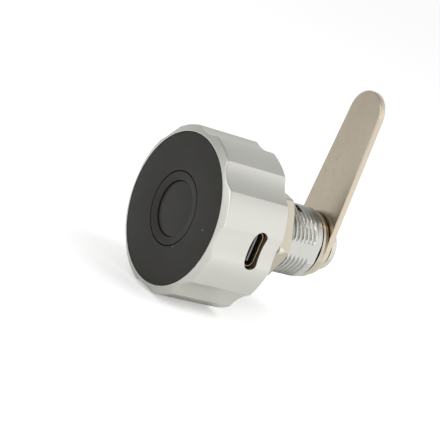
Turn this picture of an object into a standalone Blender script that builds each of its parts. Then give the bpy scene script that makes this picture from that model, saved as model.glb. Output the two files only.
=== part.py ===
# Fingerprint cam lock: a fluted round knob with a fingerprint sensor in its face and a
# charging socket in its rim, on a threaded barrel that is clamped in a panel by a nut.
# The knob turns a spindle through the barrel, and the spindle carries the cam.
#
# Frame: the lock's axis is +Y, from the knob to the cam. The origin is on the axis where
# the barrel's flange seats on the panel. +Z is where the cam points when locked, and +X is
# the side of the charging socket. Lengths are in metres.

import math

import bmesh
import bpy

MM = 0.001

# Clearances
REST_GAP = 0.3 * MM        # between a piece and what it rests on
FIT = 0.15 * MM            # round a piece in its pocket
RUN = 0.15 * MM            # round a piece that turns or slides

# Round pieces
FINE_STEPS = 72            # facets round the large turned pieces
STEPS = 48                 # facets round the middle-sized ones
SMALL_STEPS = 24           # facets round screws and small holes
BARREL_ARC_STEPS = 14      # facets on each round side of the barrel
SQUARE_STEPS = 3           # facets on each clipped corner of the square
TRACK_STEPS = 16           # facets along the lug's track
LUG_STEPS = 4              # facets along the lug
OVERCUT = 1.0 * MM         # how far a cutter runs past what it cuts
SMOOTH_ANGLE = math.radians(30)

# Knob housing
KNOB_RADIUS = 21.0 * MM
KNOB_STANDOFF = 1.5 * MM   # from the panel to the knob's rear edge
FLUTE_COUNT = 8
FLUTE_ANGLE = math.radians(21.6)
FLUTE_DEPTH = 1.0 * MM
FLUTE_STEPS = 8
RIDGE_STEPS = 5
BEVEL_WIDTH = 1.7 * MM     # radial width of the front bevel
BEVEL_DEPTH = 1.0 * MM
FACE_LIP = 0.26 * MM       # flat rim between the bevel and the face plate
REAR_CHAMFER = 0.4 * MM
KNOB_WALL = 1.5 * MM       # side wall at the bottom of a flute
FRONT_WALL = 1.2 * MM
FRONT_OPENING_SPACE = 2.0 * MM   # from the bezel's flange to the opening's edge
BOSS_COUNT = 4
BOSS_INSET = 2.3 * MM      # from the cavity's wall to a boss's centre
BOSS_RADIUS = 2.5 * MM
FIRST_BOSS_ANGLE = math.radians(45)

# Face plate, sensor and its bezel
PLATE_THICKNESS = 1.5 * MM
PLATE_SET_BACK = 0.1 * MM
BEZEL_TO_BOSS = 3.1 * MM   # from the bezel's flange to the screw bosses
BEZEL_FLANGE_RIM = 1.5 * MM
BEZEL_FLANGE_WALL = 2.6 * MM    # from the sensor's flange to the edge of the bezel's
BEZEL_GROOVE = 0.25 * MM   # ring groove between the bezel and the face plate
SENSOR_RECESS = 0.8 * MM     # from the face down to the sensor's pad
BEZEL_DISH = 0.46 * MM       # and down to the bezel's inner edge
SENSOR_FLANGE_RIM = 1.15 * MM
SENSOR_FLANGE = 1.0 * MM
LIGHT_GUIDE_THICKNESS = 0.6 * MM

# Electronics
SENSOR_BOARD = 0.8 * MM
SENSOR_BOARD_SPACE = 0.4 * MM   # from the sensor board to the motor
TAIL_WIDTH = 6.0 * MM
RIBBON_WIDTH = 5.0 * MM
RIBBON_THICKNESS = 0.3 * MM
RIBBON_TO_TAIL_END = 1.15 * MM
BATTERY_THICKNESS = 4.6 * MM
BATTERY_CORNER = 1.5 * MM
BATTERY_TO_RIBBON = 2.25 * MM
BATTERY_TO_MOTOR = 1.5 * MM
BATTERY_END_INSET = 1.45 * MM   # from the centre of a screw boss to the battery's end
BATTERY_SIDE_INSET = 3.45 * MM  # and to its long side
MAIN_BOARD = 1.0 * MM
CHIP_HEIGHT = 0.8 * MM
CHIP_INSET = 6.0 * MM      # from the cavity's wall to a chip's centre
PROCESSOR_SIZE = 5.0 * MM
PROCESSOR_ANGLE = math.radians(80)
DRIVER_SIZE = 3.2 * MM
DRIVER_ANGLE = math.radians(115)
CHARGER_ANGLE = math.radians(-75)

# Charging socket
USB_WIDTH = 8.94 * MM
USB_HEIGHT = 3.26 * MM
USB_DEPTH = 7.3 * MM
USB_SHEET = 0.3 * MM
USB_RECESS = 0.8 * MM      # from the bottom of the flute to the socket's mouth
USB_SLOT_END = 0.3 * MM    # slot beyond the shell at each end
USB_SLOT_SIDE = 0.15 * MM  # slot beyond the shell on each side
TONGUE_WIDTH = 6.7 * MM
TONGUE_THICKNESS = 0.7 * MM
TONGUE_SET_BACK = 0.6 * MM
TONGUE_BASE = 1.0 * MM

# Lock bolt and its drive
BOLT_ANGLE = math.radians(180)
BOLT_RADIUS = 1.8 * MM
BOLT_LENGTH = 5.6 * MM
BOLT_TRAVEL = 2.2 * MM
BOLT_TIP_CHAMFER = 0.3 * MM
BOLT_END_WALL = 1.3 * MM
KEY_WIDTH = 0.9 * MM
KEY_HEIGHT = 0.6 * MM
SCREW_RADIUS = 0.8 * MM
SCREW_CLEARANCE = 0.2 * MM
COLLAR_RADIUS = 1.4 * MM
COLLAR_LENGTH = 0.4 * MM
SHAFT_RADIUS = 0.4 * MM
SHAFT_DEPTH = 1.5 * MM
MOTOR_RADIUS = 3.0 * MM
GUIDE_SIZE = 5.8 * MM
GUIDE_CORNER = 0.6 * MM

# Rear cover and its screws
COVER_THICKNESS = 1.4 * MM
COVER_SCREW_RADIUS = 0.8 * MM
COVER_SCREW_LENGTH = 5.0 * MM
COVER_HEAD_RADIUS = 1.45 * MM
COVER_HEAD = 0.8 * MM
THRUST_WASHER = 0.6 * MM
THRUST_WASHER_WIDTH = 3.0 * MM

# Spindle and its screws
SPINDLE_RADIUS = 5.05 * MM
SPINDLE_HEAD = 1.6 * MM
SPINDLE_HEAD_RIM = 2.85 * MM    # from the shaft's side to the edge of its head
SPINDLE_HEAD_SPACE = 0.4 * MM   # from the spindle's head to the bolt guide
SQUARE = 8.0 * MM
SPINDLE_SCREW_COUNT = 3
SPINDLE_SCREW_INSET = 1.45 * MM
SPINDLE_SCREW_RADIUS = 0.6 * MM
SPINDLE_SCREW_HEAD_RADIUS = 1.1 * MM
SPINDLE_SCREW_HEAD = 0.7 * MM
FIRST_SPINDLE_SCREW_ANGLE = math.radians(60)

# Barrel and nut
FLANGE_RIM = 2.7 * MM      # from a bolt pocket's centre to the flange's edge
FLANGE_THICKNESS = 3.5 * MM
FLANGE_CHAMFER = 0.5 * MM
BARREL_RADIUS = 9.12 * MM
BARREL_LENGTH = 20.0 * MM
BARREL_FLAT_DEPTH = 0.52 * MM
BARREL_CHAMFER = 0.2 * MM
THREAD_PITCH = 1.3 * MM
THREAD_DEPTH = 0.42 * MM
THREAD_START = 1.0 * MM    # from the flange to the first turn
THREAD_END_SPACE = 1.5 * MM     # plain length at the cam's end
THREAD_RUNOUT = 0.6 * MM
THREAD_FORM = [(0.0, 0.0), (0.2, 0.0), (0.5, 1.0), (0.7, 1.0)]  # shares of pitch and depth
BOLT_POCKET_SPACE = 0.3 * MM
NUT_WALL = 2.38 * MM       # from the thread to the middle of a flat
NUT_THICKNESS = 4.5 * MM
NUT_FROM_PANEL_SEAT = 3.7 * MM
NUT_TURN = math.radians(-1.6)
NUT_CHAMFER_START = 0.3 * MM    # from the middle of a flat out to the chamfer
NUT_CHAMFER_ANGLE = math.radians(30)

# Stop washer, cam and their screw
STOP_SPACE = 0.5 * MM      # from the barrel's end to the stop washer
STOP_INSET = 0.42 * MM     # from the barrel's side to the stop washer's edge
STOP_THICKNESS = 1.7 * MM
LUG_WIDTH = 1.0 * MM
LUG_LENGTH = 1.6 * MM
LUG_ANGLE = math.radians(20)
LUG_PLAY = math.radians(1.5)
TURN_RANGE = math.radians(90)
LUG_CENTRE = math.radians(-90)
CAM_THICKNESS = 1.7 * MM
CAM_BASE_RADIUS = 7.8 * MM
CAM_TIP_RADIUS = 6.1 * MM
CAM_REACH = 42.2 * MM      # from the axis to the tip
CAM_EDGE = 0.2 * MM
SPRING_WASHER_RADIUS = 5.4 * MM
SPRING_WASHER_THICKNESS = 0.8 * MM
SPRING_WASHER_SLIT = 0.7 * MM
SLIT_LEAN = math.radians(9)
CAM_SCREW_RADIUS = 2.45 * MM
CAM_SCREW_LENGTH = 13.0 * MM
CAM_SCREW_HEAD_RADIUS = 6.0 * MM
CAM_SCREW_HEAD = 2.4 * MM
CAM_SCREW_HEAD_ROUND = 0.9 * MM
DRIVE_SLOT_LENGTH = 5.2 * MM
DRIVE_SLOT_WIDTH = 1.1 * MM
DRIVE_SLOT_DEPTH = 1.4 * MM

# Places along the axis, worked out from the panel seat towards the face
FLANGE_FRONT = -FLANGE_THICKNESS
THRUST_REAR = FLANGE_FRONT - REST_GAP
THRUST_FRONT = THRUST_REAR - THRUST_WASHER
COVER_REAR = THRUST_FRONT - REST_GAP
COVER_FRONT = COVER_REAR - COVER_THICKNESS
USB_REAR = COVER_FRONT - REST_GAP
USB_FRONT = USB_REAR - USB_HEIGHT
USB_CENTRE = (USB_FRONT + USB_REAR) / 2
BOARD_REAR = USB_FRONT - REST_GAP
BOARD_FRONT = BOARD_REAR - MAIN_BOARD
BATTERY_REAR = BOARD_FRONT - REST_GAP
BATTERY_FRONT = BATTERY_REAR - BATTERY_THICKNESS
SENSOR_BOARD_REAR = BATTERY_FRONT - REST_GAP
SENSOR_BOARD_FRONT = SENSOR_BOARD_REAR - SENSOR_BOARD
SENSOR_REAR = SENSOR_BOARD_FRONT - REST_GAP
SENSOR_FLANGE_FRONT = SENSOR_REAR - SENSOR_FLANGE
WALL_FRONT = SENSOR_FLANGE_FRONT - REST_GAP
WALL_REAR = WALL_FRONT + FRONT_WALL
LIGHT_GUIDE_REAR = WALL_FRONT + LIGHT_GUIDE_THICKNESS
PLATE_REAR = WALL_FRONT - REST_GAP
PLATE_FRONT = PLATE_REAR - PLATE_THICKNESS
FACE = PLATE_FRONT - PLATE_SET_BACK
KNOB_REAR = -KNOB_STANDOFF
SPINDLE_HEAD_REAR = COVER_FRONT - REST_GAP
SPINDLE_HEAD_FRONT = SPINDLE_HEAD_REAR - SPINDLE_HEAD

# Places along the axis behind the panel seat
NUT_FRONT = NUT_FROM_PANEL_SEAT
NUT_REAR = NUT_FRONT + NUT_THICKNESS
STOP_FRONT = BARREL_LENGTH + STOP_SPACE
STOP_REAR = STOP_FRONT + STOP_THICKNESS
CAM_FRONT = STOP_REAR + REST_GAP
CAM_REAR = CAM_FRONT + CAM_THICKNESS
SPINDLE_END = CAM_REAR - REST_GAP
SPRING_WASHER_FRONT = CAM_REAR + REST_GAP
SPRING_WASHER_REAR = SPRING_WASHER_FRONT + SPRING_WASHER_THICKNESS
CAM_HEAD_FRONT = SPRING_WASHER_REAR + REST_GAP

# Radii and places that follow from the ones above
CAVITY_RADIUS = KNOB_RADIUS - FLUTE_DEPTH - KNOB_WALL
FACE_POCKET_RADIUS = KNOB_RADIUS - BEVEL_WIDTH - FACE_LIP
BORE_RADIUS = SPINDLE_RADIUS + RUN
BOSS_REAR = COVER_FRONT - REST_GAP
BOSS_CIRCLE_RADIUS = CAVITY_RADIUS - BOSS_INSET
BEZEL_FLANGE_RADIUS = BOSS_CIRCLE_RADIUS - BOSS_RADIUS - BEZEL_TO_BOSS
BEZEL_RADIUS = BEZEL_FLANGE_RADIUS - BEZEL_FLANGE_RIM
FRONT_OPENING_RADIUS = BEZEL_FLANGE_RADIUS + FRONT_OPENING_SPACE
SENSOR_FLANGE_RADIUS = BEZEL_FLANGE_RADIUS - BEZEL_FLANGE_WALL
SENSOR_RADIUS = SENSOR_FLANGE_RADIUS - SENSOR_FLANGE_RIM
SPINDLE_HEAD_RADIUS = SPINDLE_RADIUS + SPINDLE_HEAD_RIM
BOLT_CIRCLE_RADIUS = SPINDLE_HEAD_RADIUS + SPINDLE_HEAD_SPACE + GUIDE_SIZE / 2
FLANGE_RADIUS = BOLT_CIRCLE_RADIUS + FLANGE_RIM
SPINDLE_SCREW_CIRCLE = SPINDLE_HEAD_RADIUS - SPINDLE_SCREW_INSET
SENSOR_BOARD_RADIUS = BOLT_CIRCLE_RADIUS - MOTOR_RADIUS - SENSOR_BOARD_SPACE
CHIP_CIRCLE_RADIUS = CAVITY_RADIUS - CHIP_INSET
BATTERY_HEIGHT = 2 * (BOSS_CIRCLE_RADIUS * math.sin(FIRST_BOSS_ANGLE) - BATTERY_SIDE_INSET)
BATTERY_LEFT = -(BOLT_CIRCLE_RADIUS - MOTOR_RADIUS - BATTERY_TO_MOTOR)
BATTERY_RIGHT = BOSS_CIRCLE_RADIUS * math.cos(FIRST_BOSS_ANGLE) - BATTERY_END_INSET
BATTERY_WIDTH = BATTERY_RIGHT - BATTERY_LEFT
BATTERY_CENTRE_X = (BATTERY_LEFT + BATTERY_RIGHT) / 2
RIBBON_OFFSET = BATTERY_HEIGHT / 2 + BATTERY_TO_RIBBON
TAIL_REACH = RIBBON_OFFSET + RIBBON_TO_TAIL_END
BARREL_FLATS = 2 * (BARREL_RADIUS - BARREL_FLAT_DEPTH)
THREAD_END = BARREL_LENGTH - THREAD_END_SPACE
STOP_RADIUS = BARREL_RADIUS - STOP_INSET
LUG_MIDDLE_RADIUS = (BORE_RADIUS + BARREL_FLATS / 2) / 2
LUG_INNER_RADIUS = LUG_MIDDLE_RADIUS - LUG_WIDTH / 2
LUG_OUTER_RADIUS = LUG_MIDDLE_RADIUS + LUG_WIDTH / 2
NUT_ACROSS_FLATS = 2 * (BARREL_RADIUS + NUT_WALL)
NUT_CHAMFER_RADIUS = NUT_ACROSS_FLATS / 2 + NUT_CHAMFER_START
USB_MOUTH = KNOB_RADIUS - FLUTE_DEPTH - USB_RECESS
BOLT_PLACE = (-BOLT_CIRCLE_RADIUS, 0.0)

# The bolt and its screw, along their own axis
BOLT_REAR = COVER_REAR
BOLT_FRONT = BOLT_REAR - BOLT_LENGTH
BOLT_BORE_END = BOLT_REAR - BOLT_END_WALL
SCREW_REAR = BOLT_BORE_END - REST_GAP
COLLAR_REAR = BOLT_FRONT - REST_GAP
COLLAR_FRONT = COLLAR_REAR - COLLAR_LENGTH
MOTOR_REAR = COLLAR_FRONT - REST_GAP
MOTOR_FRONT = WALL_REAR + REST_GAP


def clear_scene():
    """Remove every object of the open file."""
    for old in list(bpy.data.objects):
        bpy.data.objects.remove(old)


def finish_material(name, colour, roughness, metallic):
    """A Principled material with one colour."""
    material = bpy.data.materials.new(name)
    material.use_nodes = True
    shader = material.node_tree.nodes["Principled BSDF"]
    shader.inputs["Base Color"].default_value = (*colour, 1.0)
    shader.inputs["Roughness"].default_value = roughness
    shader.inputs["Metallic"].default_value = metallic
    return material


def new_axis(name, location=(0.0, 0.0, 0.0), parent=None):
    """An empty on a joint's axis, for the pieces that turn or slide there."""
    axis = bpy.data.objects.new(name, None)
    axis.location = location
    axis.parent = parent
    bpy.context.collection.objects.link(axis)
    return axis


def new_object(name, bm):
    """Make an object of finished solids, with their faces pointing out."""
    bmesh.ops.remove_doubles(bm, verts=bm.verts, dist=1e-7)
    bmesh.ops.recalc_face_normals(bm, faces=bm.faces)
    mesh = bpy.data.meshes.new(name)
    bm.to_mesh(mesh)
    bm.free()
    mesh.shade_smooth()
    mesh.set_sharp_from_angle(angle=SMOOTH_ANGLE)
    made = bpy.data.objects.new(name, mesh)
    bpy.context.collection.objects.link(made)
    return made


def new_piece(name, bm, material, axis=None):
    """Make a named piece of the lock in its own material."""
    piece = new_object(name, bm)
    piece.parent = axis
    piece.data.materials.append(material)
    return piece


def add_turned(bm, profile, steps=STEPS, centre=(0.0, 0.0)):
    """Turn a closed profile of (radius, y) points about an axis along Y."""
    corners = [bm.verts.new((centre[0] + radius, y, centre[1])) for radius, y in profile]
    edges = []
    for index, corner in enumerate(corners):
        on_axis = profile[index][0] == 0.0 and profile[index - 1][0] == 0.0
        if not on_axis:
            edges.append(bm.edges.new((corners[index - 1], corner)))
    bmesh.ops.spin(bm, geom=corners + edges, cent=(centre[0], 0.0, centre[1]),
                   axis=(0.0, 1.0, 0.0), angle=math.tau, steps=steps, use_merge=True)


def add_rod(bm, radius, low, high, steps=SMALL_STEPS, centre=(0.0, 0.0)):
    """A plain round rod along Y."""
    add_turned(bm, [(0.0, low), (radius, low), (radius, high), (0.0, high)], steps, centre)


def add_tube(bm, inner, outer, low, high, steps=STEPS):
    """A plain round tube along Y."""
    add_turned(bm, [(inner, low), (outer, low), (outer, high), (inner, high)], steps)


def add_prism(bm, outline, low, high, along="Y"):
    """Extrude an outline: (x, z) points along Y, or (y, z) points along X."""
    if along == "Y":
        corners = [bm.verts.new((x, low, z)) for x, z in outline]
        shift = (0.0, high - low, 0.0)
    else:
        corners = [bm.verts.new((low, y, z)) for y, z in outline]
        shift = (high - low, 0.0, 0.0)
    face = bm.faces.new(corners)
    grown = bmesh.ops.extrude_face_region(bm, geom=[face], use_keep_orig=True)
    moved = [part for part in grown["geom"] if isinstance(part, bmesh.types.BMVert)]
    bmesh.ops.translate(bm, verts=moved, vec=shift)


def add_loft(bm, sections):
    """Skin a closed series of sections, each an outline of (x, z) points and its y."""
    loops = []
    for outline, heights in sections:
        corners = [bm.verts.new((x, y, z)) for (x, z), y in zip(outline, heights)]
        loops.append(corners)
    count = len(loops[0])
    for first, second in zip(loops, loops[1:] + loops[:1]):
        for index in range(count):
            after = (index + 1) % count
            bm.faces.new((first[index], first[after], second[after], second[index]))


def boolean(target, name, bm, operation):
    """Cut, join or intersect a piece with a hidden tool object."""
    tool = new_object(name, bm)
    tool.parent = target.parent
    tool.hide_render = True
    tool.display_type = "WIRE"
    step = target.modifiers.new(name, "BOOLEAN")
    step.operation = operation
    step.solver = "EXACT"
    step.object = tool


def cut(target, name, bm):
    boolean(target, name, bm, "DIFFERENCE")


def join(target, name, bm):
    boolean(target, name, bm, "UNION")


def polar(radius, angle):
    return radius * math.cos(angle), radius * math.sin(angle)


def arc(radius, start, end, steps, centre=(0.0, 0.0)):
    """Points of an arc, both ends included."""
    points = []
    for step in range(steps + 1):
        x, z = polar(radius, start + (end - start) * step / steps)
        points.append((centre[0] + x, centre[1] + z))
    return points


def ring_positions(radius, count, first_angle):
    """Centres of equally spaced features on a circle round the lock's axis."""
    return [polar(radius, first_angle + math.tau * index / count) for index in range(count)]


def rectangle(width, height, centre=(0.0, 0.0)):
    right = centre[0] + width / 2
    left = centre[0] - width / 2
    top = centre[1] + height / 2
    bottom = centre[1] - height / 2
    return [(right, bottom), (right, top), (left, top), (left, bottom)]


def rounded_rectangle(width, height, corner, centre=(0.0, 0.0), steps=4):
    points = []
    for turn, (side_x, side_z) in enumerate([(1, 1), (-1, 1), (-1, -1), (1, -1)]):
        middle = (centre[0] + side_x * (width / 2 - corner),
                  centre[1] + side_z * (height / 2 - corner))
        start = math.pi / 2 * turn
        points += arc(corner, start, start + math.pi / 2, steps, middle)
    return points


def clipped_square(across, radius, steps=3):
    """A square whose corners lie on a circle, as on a squared shaft."""
    half = across / 2
    reach = math.acos(min(1.0, half / radius))
    points = []
    for quarter in range(4):
        middle = math.pi / 4 + math.pi / 2 * quarter
        spread = math.pi / 4 - reach
        points += arc(radius, middle - spread, middle + spread, steps)
    return points


def stadium(width, height, centre_y, steps=8):
    """A slot outline with round ends, long along Z, as (y, z) points."""
    radius = height / 2
    reach = width / 2 - radius
    upper = arc(radius, 0.0, math.pi, steps, (centre_y, reach))
    lower = arc(radius, math.pi, math.tau, steps, (centre_y, -reach))
    return upper + lower


def sector(inner, outer, start, end, steps):
    """A piece of a flat ring between two angles."""
    return arc(outer, start, end, steps) + arc(inner, end, start, steps)


def fluted_outline():
    """The knob's outline: round ridges with shallow hollow flutes between them."""
    half = FLUTE_ANGLE / 2
    pitch = math.tau / FLUTE_COUNT
    half_chord = KNOB_RADIUS * math.sin(half)
    sink = FLUTE_DEPTH - KNOB_RADIUS * (1 - math.cos(half))
    hollow_radius = (half_chord ** 2 + sink ** 2) / (2 * sink)
    hollow_distance = KNOB_RADIUS - FLUTE_DEPTH + hollow_radius
    sweep = math.asin(half_chord / hollow_radius)
    points = []
    for index in range(FLUTE_COUNT):
        middle = pitch * index
        centre = polar(hollow_distance, middle)
        start = middle + math.pi + sweep
        points += arc(hollow_radius, start, start - 2 * sweep, FLUTE_STEPS, centre)
        points += arc(KNOB_RADIUS, middle + half, middle + pitch - half, RIDGE_STEPS)[1:-1]
    return points


def level(outline, y):
    """A section of the loft with all its points at one y."""
    return outline, [y] * len(outline)


def circle_under(outline, radius, y):
    """A round section whose points lie at the same angles as an outline's."""
    return level([polar(radius, math.atan2(z, x)) for x, z in outline], y)


def inset(outline, amount):
    """The outline moved towards the axis by the same radial amount."""
    return [polar(math.hypot(x, z) - amount, math.atan2(z, x)) for x, z in outline]


def bevel_section(outline):
    """The curved line where the front bevel's cone meets the fluted side."""
    slope = BEVEL_DEPTH / BEVEL_WIDTH
    rim = KNOB_RADIUS - BEVEL_WIDTH
    return outline, [FACE + slope * (math.hypot(x, z) - rim) for x, z in outline]


def boss_positions():
    return ring_positions(BOSS_CIRCLE_RADIUS, BOSS_COUNT, FIRST_BOSS_ANGLE)


def make_knob_housing(material, axis):
    """Fluted shell with a bevelled front, screw bosses and the socket's slot."""
    outline = fluted_outline()
    shell = bmesh.new()
    add_loft(shell, [
        level(inset(outline, REAR_CHAMFER), KNOB_REAR),
        level(outline, KNOB_REAR - REAR_CHAMFER),
        bevel_section(outline),
        circle_under(outline, KNOB_RADIUS - BEVEL_WIDTH, FACE),
        circle_under(outline, FACE_POCKET_RADIUS, FACE),
        circle_under(outline, FACE_POCKET_RADIUS, WALL_FRONT),
        circle_under(outline, FRONT_OPENING_RADIUS, WALL_FRONT),
        circle_under(outline, FRONT_OPENING_RADIUS, WALL_REAR),
        circle_under(outline, CAVITY_RADIUS, WALL_REAR),
        circle_under(outline, CAVITY_RADIUS, KNOB_REAR),
    ])
    housing = new_piece("knob_housing", shell, material, axis)
    bosses = bmesh.new()
    openings = bmesh.new()
    hole_end = COVER_REAR - COVER_SCREW_LENGTH - OVERCUT
    for place in boss_positions():
        add_rod(bosses, BOSS_RADIUS, WALL_REAR - FRONT_WALL / 2, BOSS_REAR, centre=place)
        add_rod(openings, COVER_SCREW_RADIUS + FIT, hole_end, BOSS_REAR + OVERCUT, centre=place)
    slot = stadium(USB_WIDTH + 2 * USB_SLOT_END, USB_HEIGHT + 2 * USB_SLOT_SIDE, USB_CENTRE)
    add_prism(openings, slot, CAVITY_RADIUS - OVERCUT, KNOB_RADIUS + OVERCUT, "X")
    join(housing, "housing_bosses", bosses)
    cut(housing, "housing_openings", openings)


def make_face_plate(material, axis):
    """Black disc in the front pocket, with a round hole for the bezel."""
    bm = bmesh.new()
    add_tube(bm, BEZEL_RADIUS + BEZEL_GROOVE, FACE_POCKET_RADIUS - FIT, PLATE_FRONT, PLATE_REAR,
             FINE_STEPS)
    new_piece("face_plate", bm, material, axis)


def make_sensor_bezel(material, axis):
    """Ring round the sensor, dished from the face plate down to the pad, with a rear flange."""
    bore = SENSOR_RADIUS + FIT
    counterbore = SENSOR_FLANGE_RADIUS + FIT
    flange_front = LIGHT_GUIDE_REAR + REST_GAP
    bm = bmesh.new()
    add_turned(bm, [
        (BEZEL_RADIUS, PLATE_FRONT),
        (BEZEL_RADIUS, flange_front),
        (BEZEL_FLANGE_RADIUS, flange_front),
        (BEZEL_FLANGE_RADIUS, SENSOR_REAR),
        (counterbore, SENSOR_REAR),
        (counterbore, WALL_FRONT),
        (bore, WALL_FRONT),
        (bore, PLATE_FRONT + BEZEL_DISH),
    ], FINE_STEPS)
    new_piece("sensor_bezel", bm, material, axis)


def make_fingerprint_sensor(material, axis):
    """Touch pad with a flange that the bezel holds from the front."""
    top = PLATE_FRONT + SENSOR_RECESS
    bm = bmesh.new()
    add_turned(bm, [
        (0.0, top),
        (SENSOR_RADIUS, top),
        (SENSOR_RADIUS, SENSOR_FLANGE_FRONT),
        (SENSOR_FLANGE_RADIUS, SENSOR_FLANGE_FRONT),
        (SENSOR_FLANGE_RADIUS, SENSOR_REAR),
        (0.0, SENSOR_REAR),
    ])
    new_piece("fingerprint_sensor", bm, material, axis)


def make_status_light_guide(material, axis):
    """Clear ring behind the groove between the bezel and the face plate."""
    bm = bmesh.new()
    add_tube(bm, BEZEL_RADIUS + FIT, FRONT_OPENING_RADIUS - REST_GAP, WALL_FRONT, LIGHT_GUIDE_REAR)
    new_piece("status_light_guide", bm, material, axis)


def make_sensor_board(material, axis):
    """Small round board with a tail for the ribbon."""
    half = TAIL_WIDTH / 2
    meet = math.acos(half / SENSOR_BOARD_RADIUS)
    outline = arc(SENSOR_BOARD_RADIUS, math.pi - meet, math.tau + meet, STEPS)
    outline += [(half, TAIL_REACH), (-half, TAIL_REACH)]
    bm = bmesh.new()
    add_prism(bm, outline, SENSOR_BOARD_FRONT, SENSOR_BOARD_REAR)
    new_piece("sensor_board", bm, material, axis)


def make_sensor_ribbon(material, axis):
    """Flat lead from the sensor board's tail to the main board."""
    bm = bmesh.new()
    add_prism(bm, rectangle(RIBBON_WIDTH, RIBBON_THICKNESS, (0.0, RIBBON_OFFSET)),
              BATTERY_FRONT, BATTERY_REAR)
    new_piece("sensor_ribbon", bm, material, axis)


def make_battery(material, axis):
    """Flat rechargeable cell."""
    outline = rounded_rectangle(BATTERY_WIDTH, BATTERY_HEIGHT, BATTERY_CORNER, (BATTERY_CENTRE_X, 0.0))
    bm = bmesh.new()
    add_prism(bm, outline, BATTERY_FRONT, BATTERY_REAR)
    new_piece("battery", bm, material, axis)


def notched_disc(name, material, axis, low, high, openings):
    """A disc inside the knob with notches for the screw bosses and further openings."""
    bm = bmesh.new()
    add_rod(bm, CAVITY_RADIUS - REST_GAP, low, high, FINE_STEPS)
    disc = new_piece(name, bm, material, axis)
    for place in boss_positions():
        add_rod(openings, BOSS_RADIUS + REST_GAP, low - OVERCUT, high + OVERCUT, centre=place)
    cut(disc, f"{name}_openings", openings)
    return disc


def make_inner_frame(material, axis):
    """Moulded frame that holds the battery and the motor in the knob."""
    low = BATTERY_FRONT - OVERCUT
    high = BATTERY_REAR + OVERCUT
    openings = bmesh.new()
    pocket = rounded_rectangle(BATTERY_WIDTH + 2 * REST_GAP, BATTERY_HEIGHT + 2 * REST_GAP,
                               BATTERY_CORNER + REST_GAP, (BATTERY_CENTRE_X, 0.0))
    add_prism(openings, pocket, low, high)
    add_rod(openings, MOTOR_RADIUS + FIT, low, high, STEPS, BOLT_PLACE)
    slot = rectangle(RIBBON_WIDTH + 2 * REST_GAP, RIBBON_THICKNESS + 2 * REST_GAP, (0.0, RIBBON_OFFSET))
    add_prism(openings, slot, low, high)
    notched_disc("inner_frame", material, axis, BATTERY_FRONT, BATTERY_REAR, openings)


def make_main_board(material, axis):
    """Round control board with its processor and two driver chips."""
    openings = bmesh.new()
    add_rod(openings, MOTOR_RADIUS + REST_GAP, BOARD_FRONT - OVERCUT, BOARD_REAR + OVERCUT, STEPS,
            BOLT_PLACE)
    board = notched_disc("main_board", material, axis, BOARD_FRONT, BOARD_REAR, openings)
    chips = bmesh.new()
    for size, angle in [(PROCESSOR_SIZE, PROCESSOR_ANGLE), (DRIVER_SIZE, DRIVER_ANGLE),
                        (DRIVER_SIZE, CHARGER_ANGLE)]:
        outline = rectangle(size, size, polar(CHIP_CIRCLE_RADIUS, angle))
        add_prism(chips, outline, BOARD_REAR - MAIN_BOARD / 2, BOARD_REAR + CHIP_HEIGHT)
    join(board, "main_board_chips", chips)


def make_usb_shell(material, axis):
    """Drawn metal shell of the charging socket, open at the mouth."""
    back = USB_MOUTH - USB_DEPTH
    bm = bmesh.new()
    add_prism(bm, stadium(USB_WIDTH, USB_HEIGHT, USB_CENTRE), back, USB_MOUTH, "X")
    shell = new_piece("usb_shell", bm, material, axis)
    inside = bmesh.new()
    outline = stadium(USB_WIDTH - 2 * USB_SHEET, USB_HEIGHT - 2 * USB_SHEET, USB_CENTRE)
    add_prism(inside, outline, back + USB_SHEET, USB_MOUTH + OVERCUT, "X")
    cut(shell, "usb_inside", inside)


def make_usb_tongue(material, axis):
    """Contact tongue on its moulded base inside the socket's shell."""
    base_start = USB_MOUTH - USB_DEPTH + USB_SHEET + REST_GAP
    base_end = base_start + TONGUE_BASE
    wall = USB_SHEET + FIT
    bm = bmesh.new()
    add_prism(bm, stadium(USB_WIDTH - 2 * wall, USB_HEIGHT - 2 * wall, USB_CENTRE),
              base_start, base_end, "X")
    tongue = new_piece("usb_tongue", bm, material, axis)
    blade = bmesh.new()
    add_prism(blade, rectangle(TONGUE_THICKNESS, TONGUE_WIDTH, (USB_CENTRE, 0.0)),
              base_end - TONGUE_BASE / 2, USB_MOUTH - TONGUE_SET_BACK, "X")
    join(tongue, "usb_blade", blade)


def make_drive_motor(material, axis):
    """Small round motor with a bore for the lead screw's shaft."""
    bore = SHAFT_RADIUS + RUN
    bore_end = COLLAR_FRONT - SHAFT_DEPTH - REST_GAP
    bm = bmesh.new()
    add_turned(bm, [
        (0.0, MOTOR_FRONT),
        (MOTOR_RADIUS, MOTOR_FRONT),
        (MOTOR_RADIUS, MOTOR_REAR),
        (bore, MOTOR_REAR),
        (bore, bore_end),
        (0.0, bore_end),
    ], STEPS, BOLT_PLACE)
    new_piece("drive_motor", bm, material, axis)


def make_lead_screw(material, bolt_axis):
    """Screw that the motor turns inside the bolt."""
    bm = bmesh.new()
    add_turned(bm, [
        (0.0, COLLAR_FRONT - SHAFT_DEPTH),
        (SHAFT_RADIUS, COLLAR_FRONT - SHAFT_DEPTH),
        (SHAFT_RADIUS, COLLAR_FRONT),
        (COLLAR_RADIUS, COLLAR_FRONT),
        (COLLAR_RADIUS, COLLAR_REAR),
        (SCREW_RADIUS, COLLAR_REAR),
        (SCREW_RADIUS, SCREW_REAR),
        (0.0, SCREW_REAR),
    ], SMALL_STEPS)
    new_piece("lead_screw", bm, material, bolt_axis)


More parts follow.
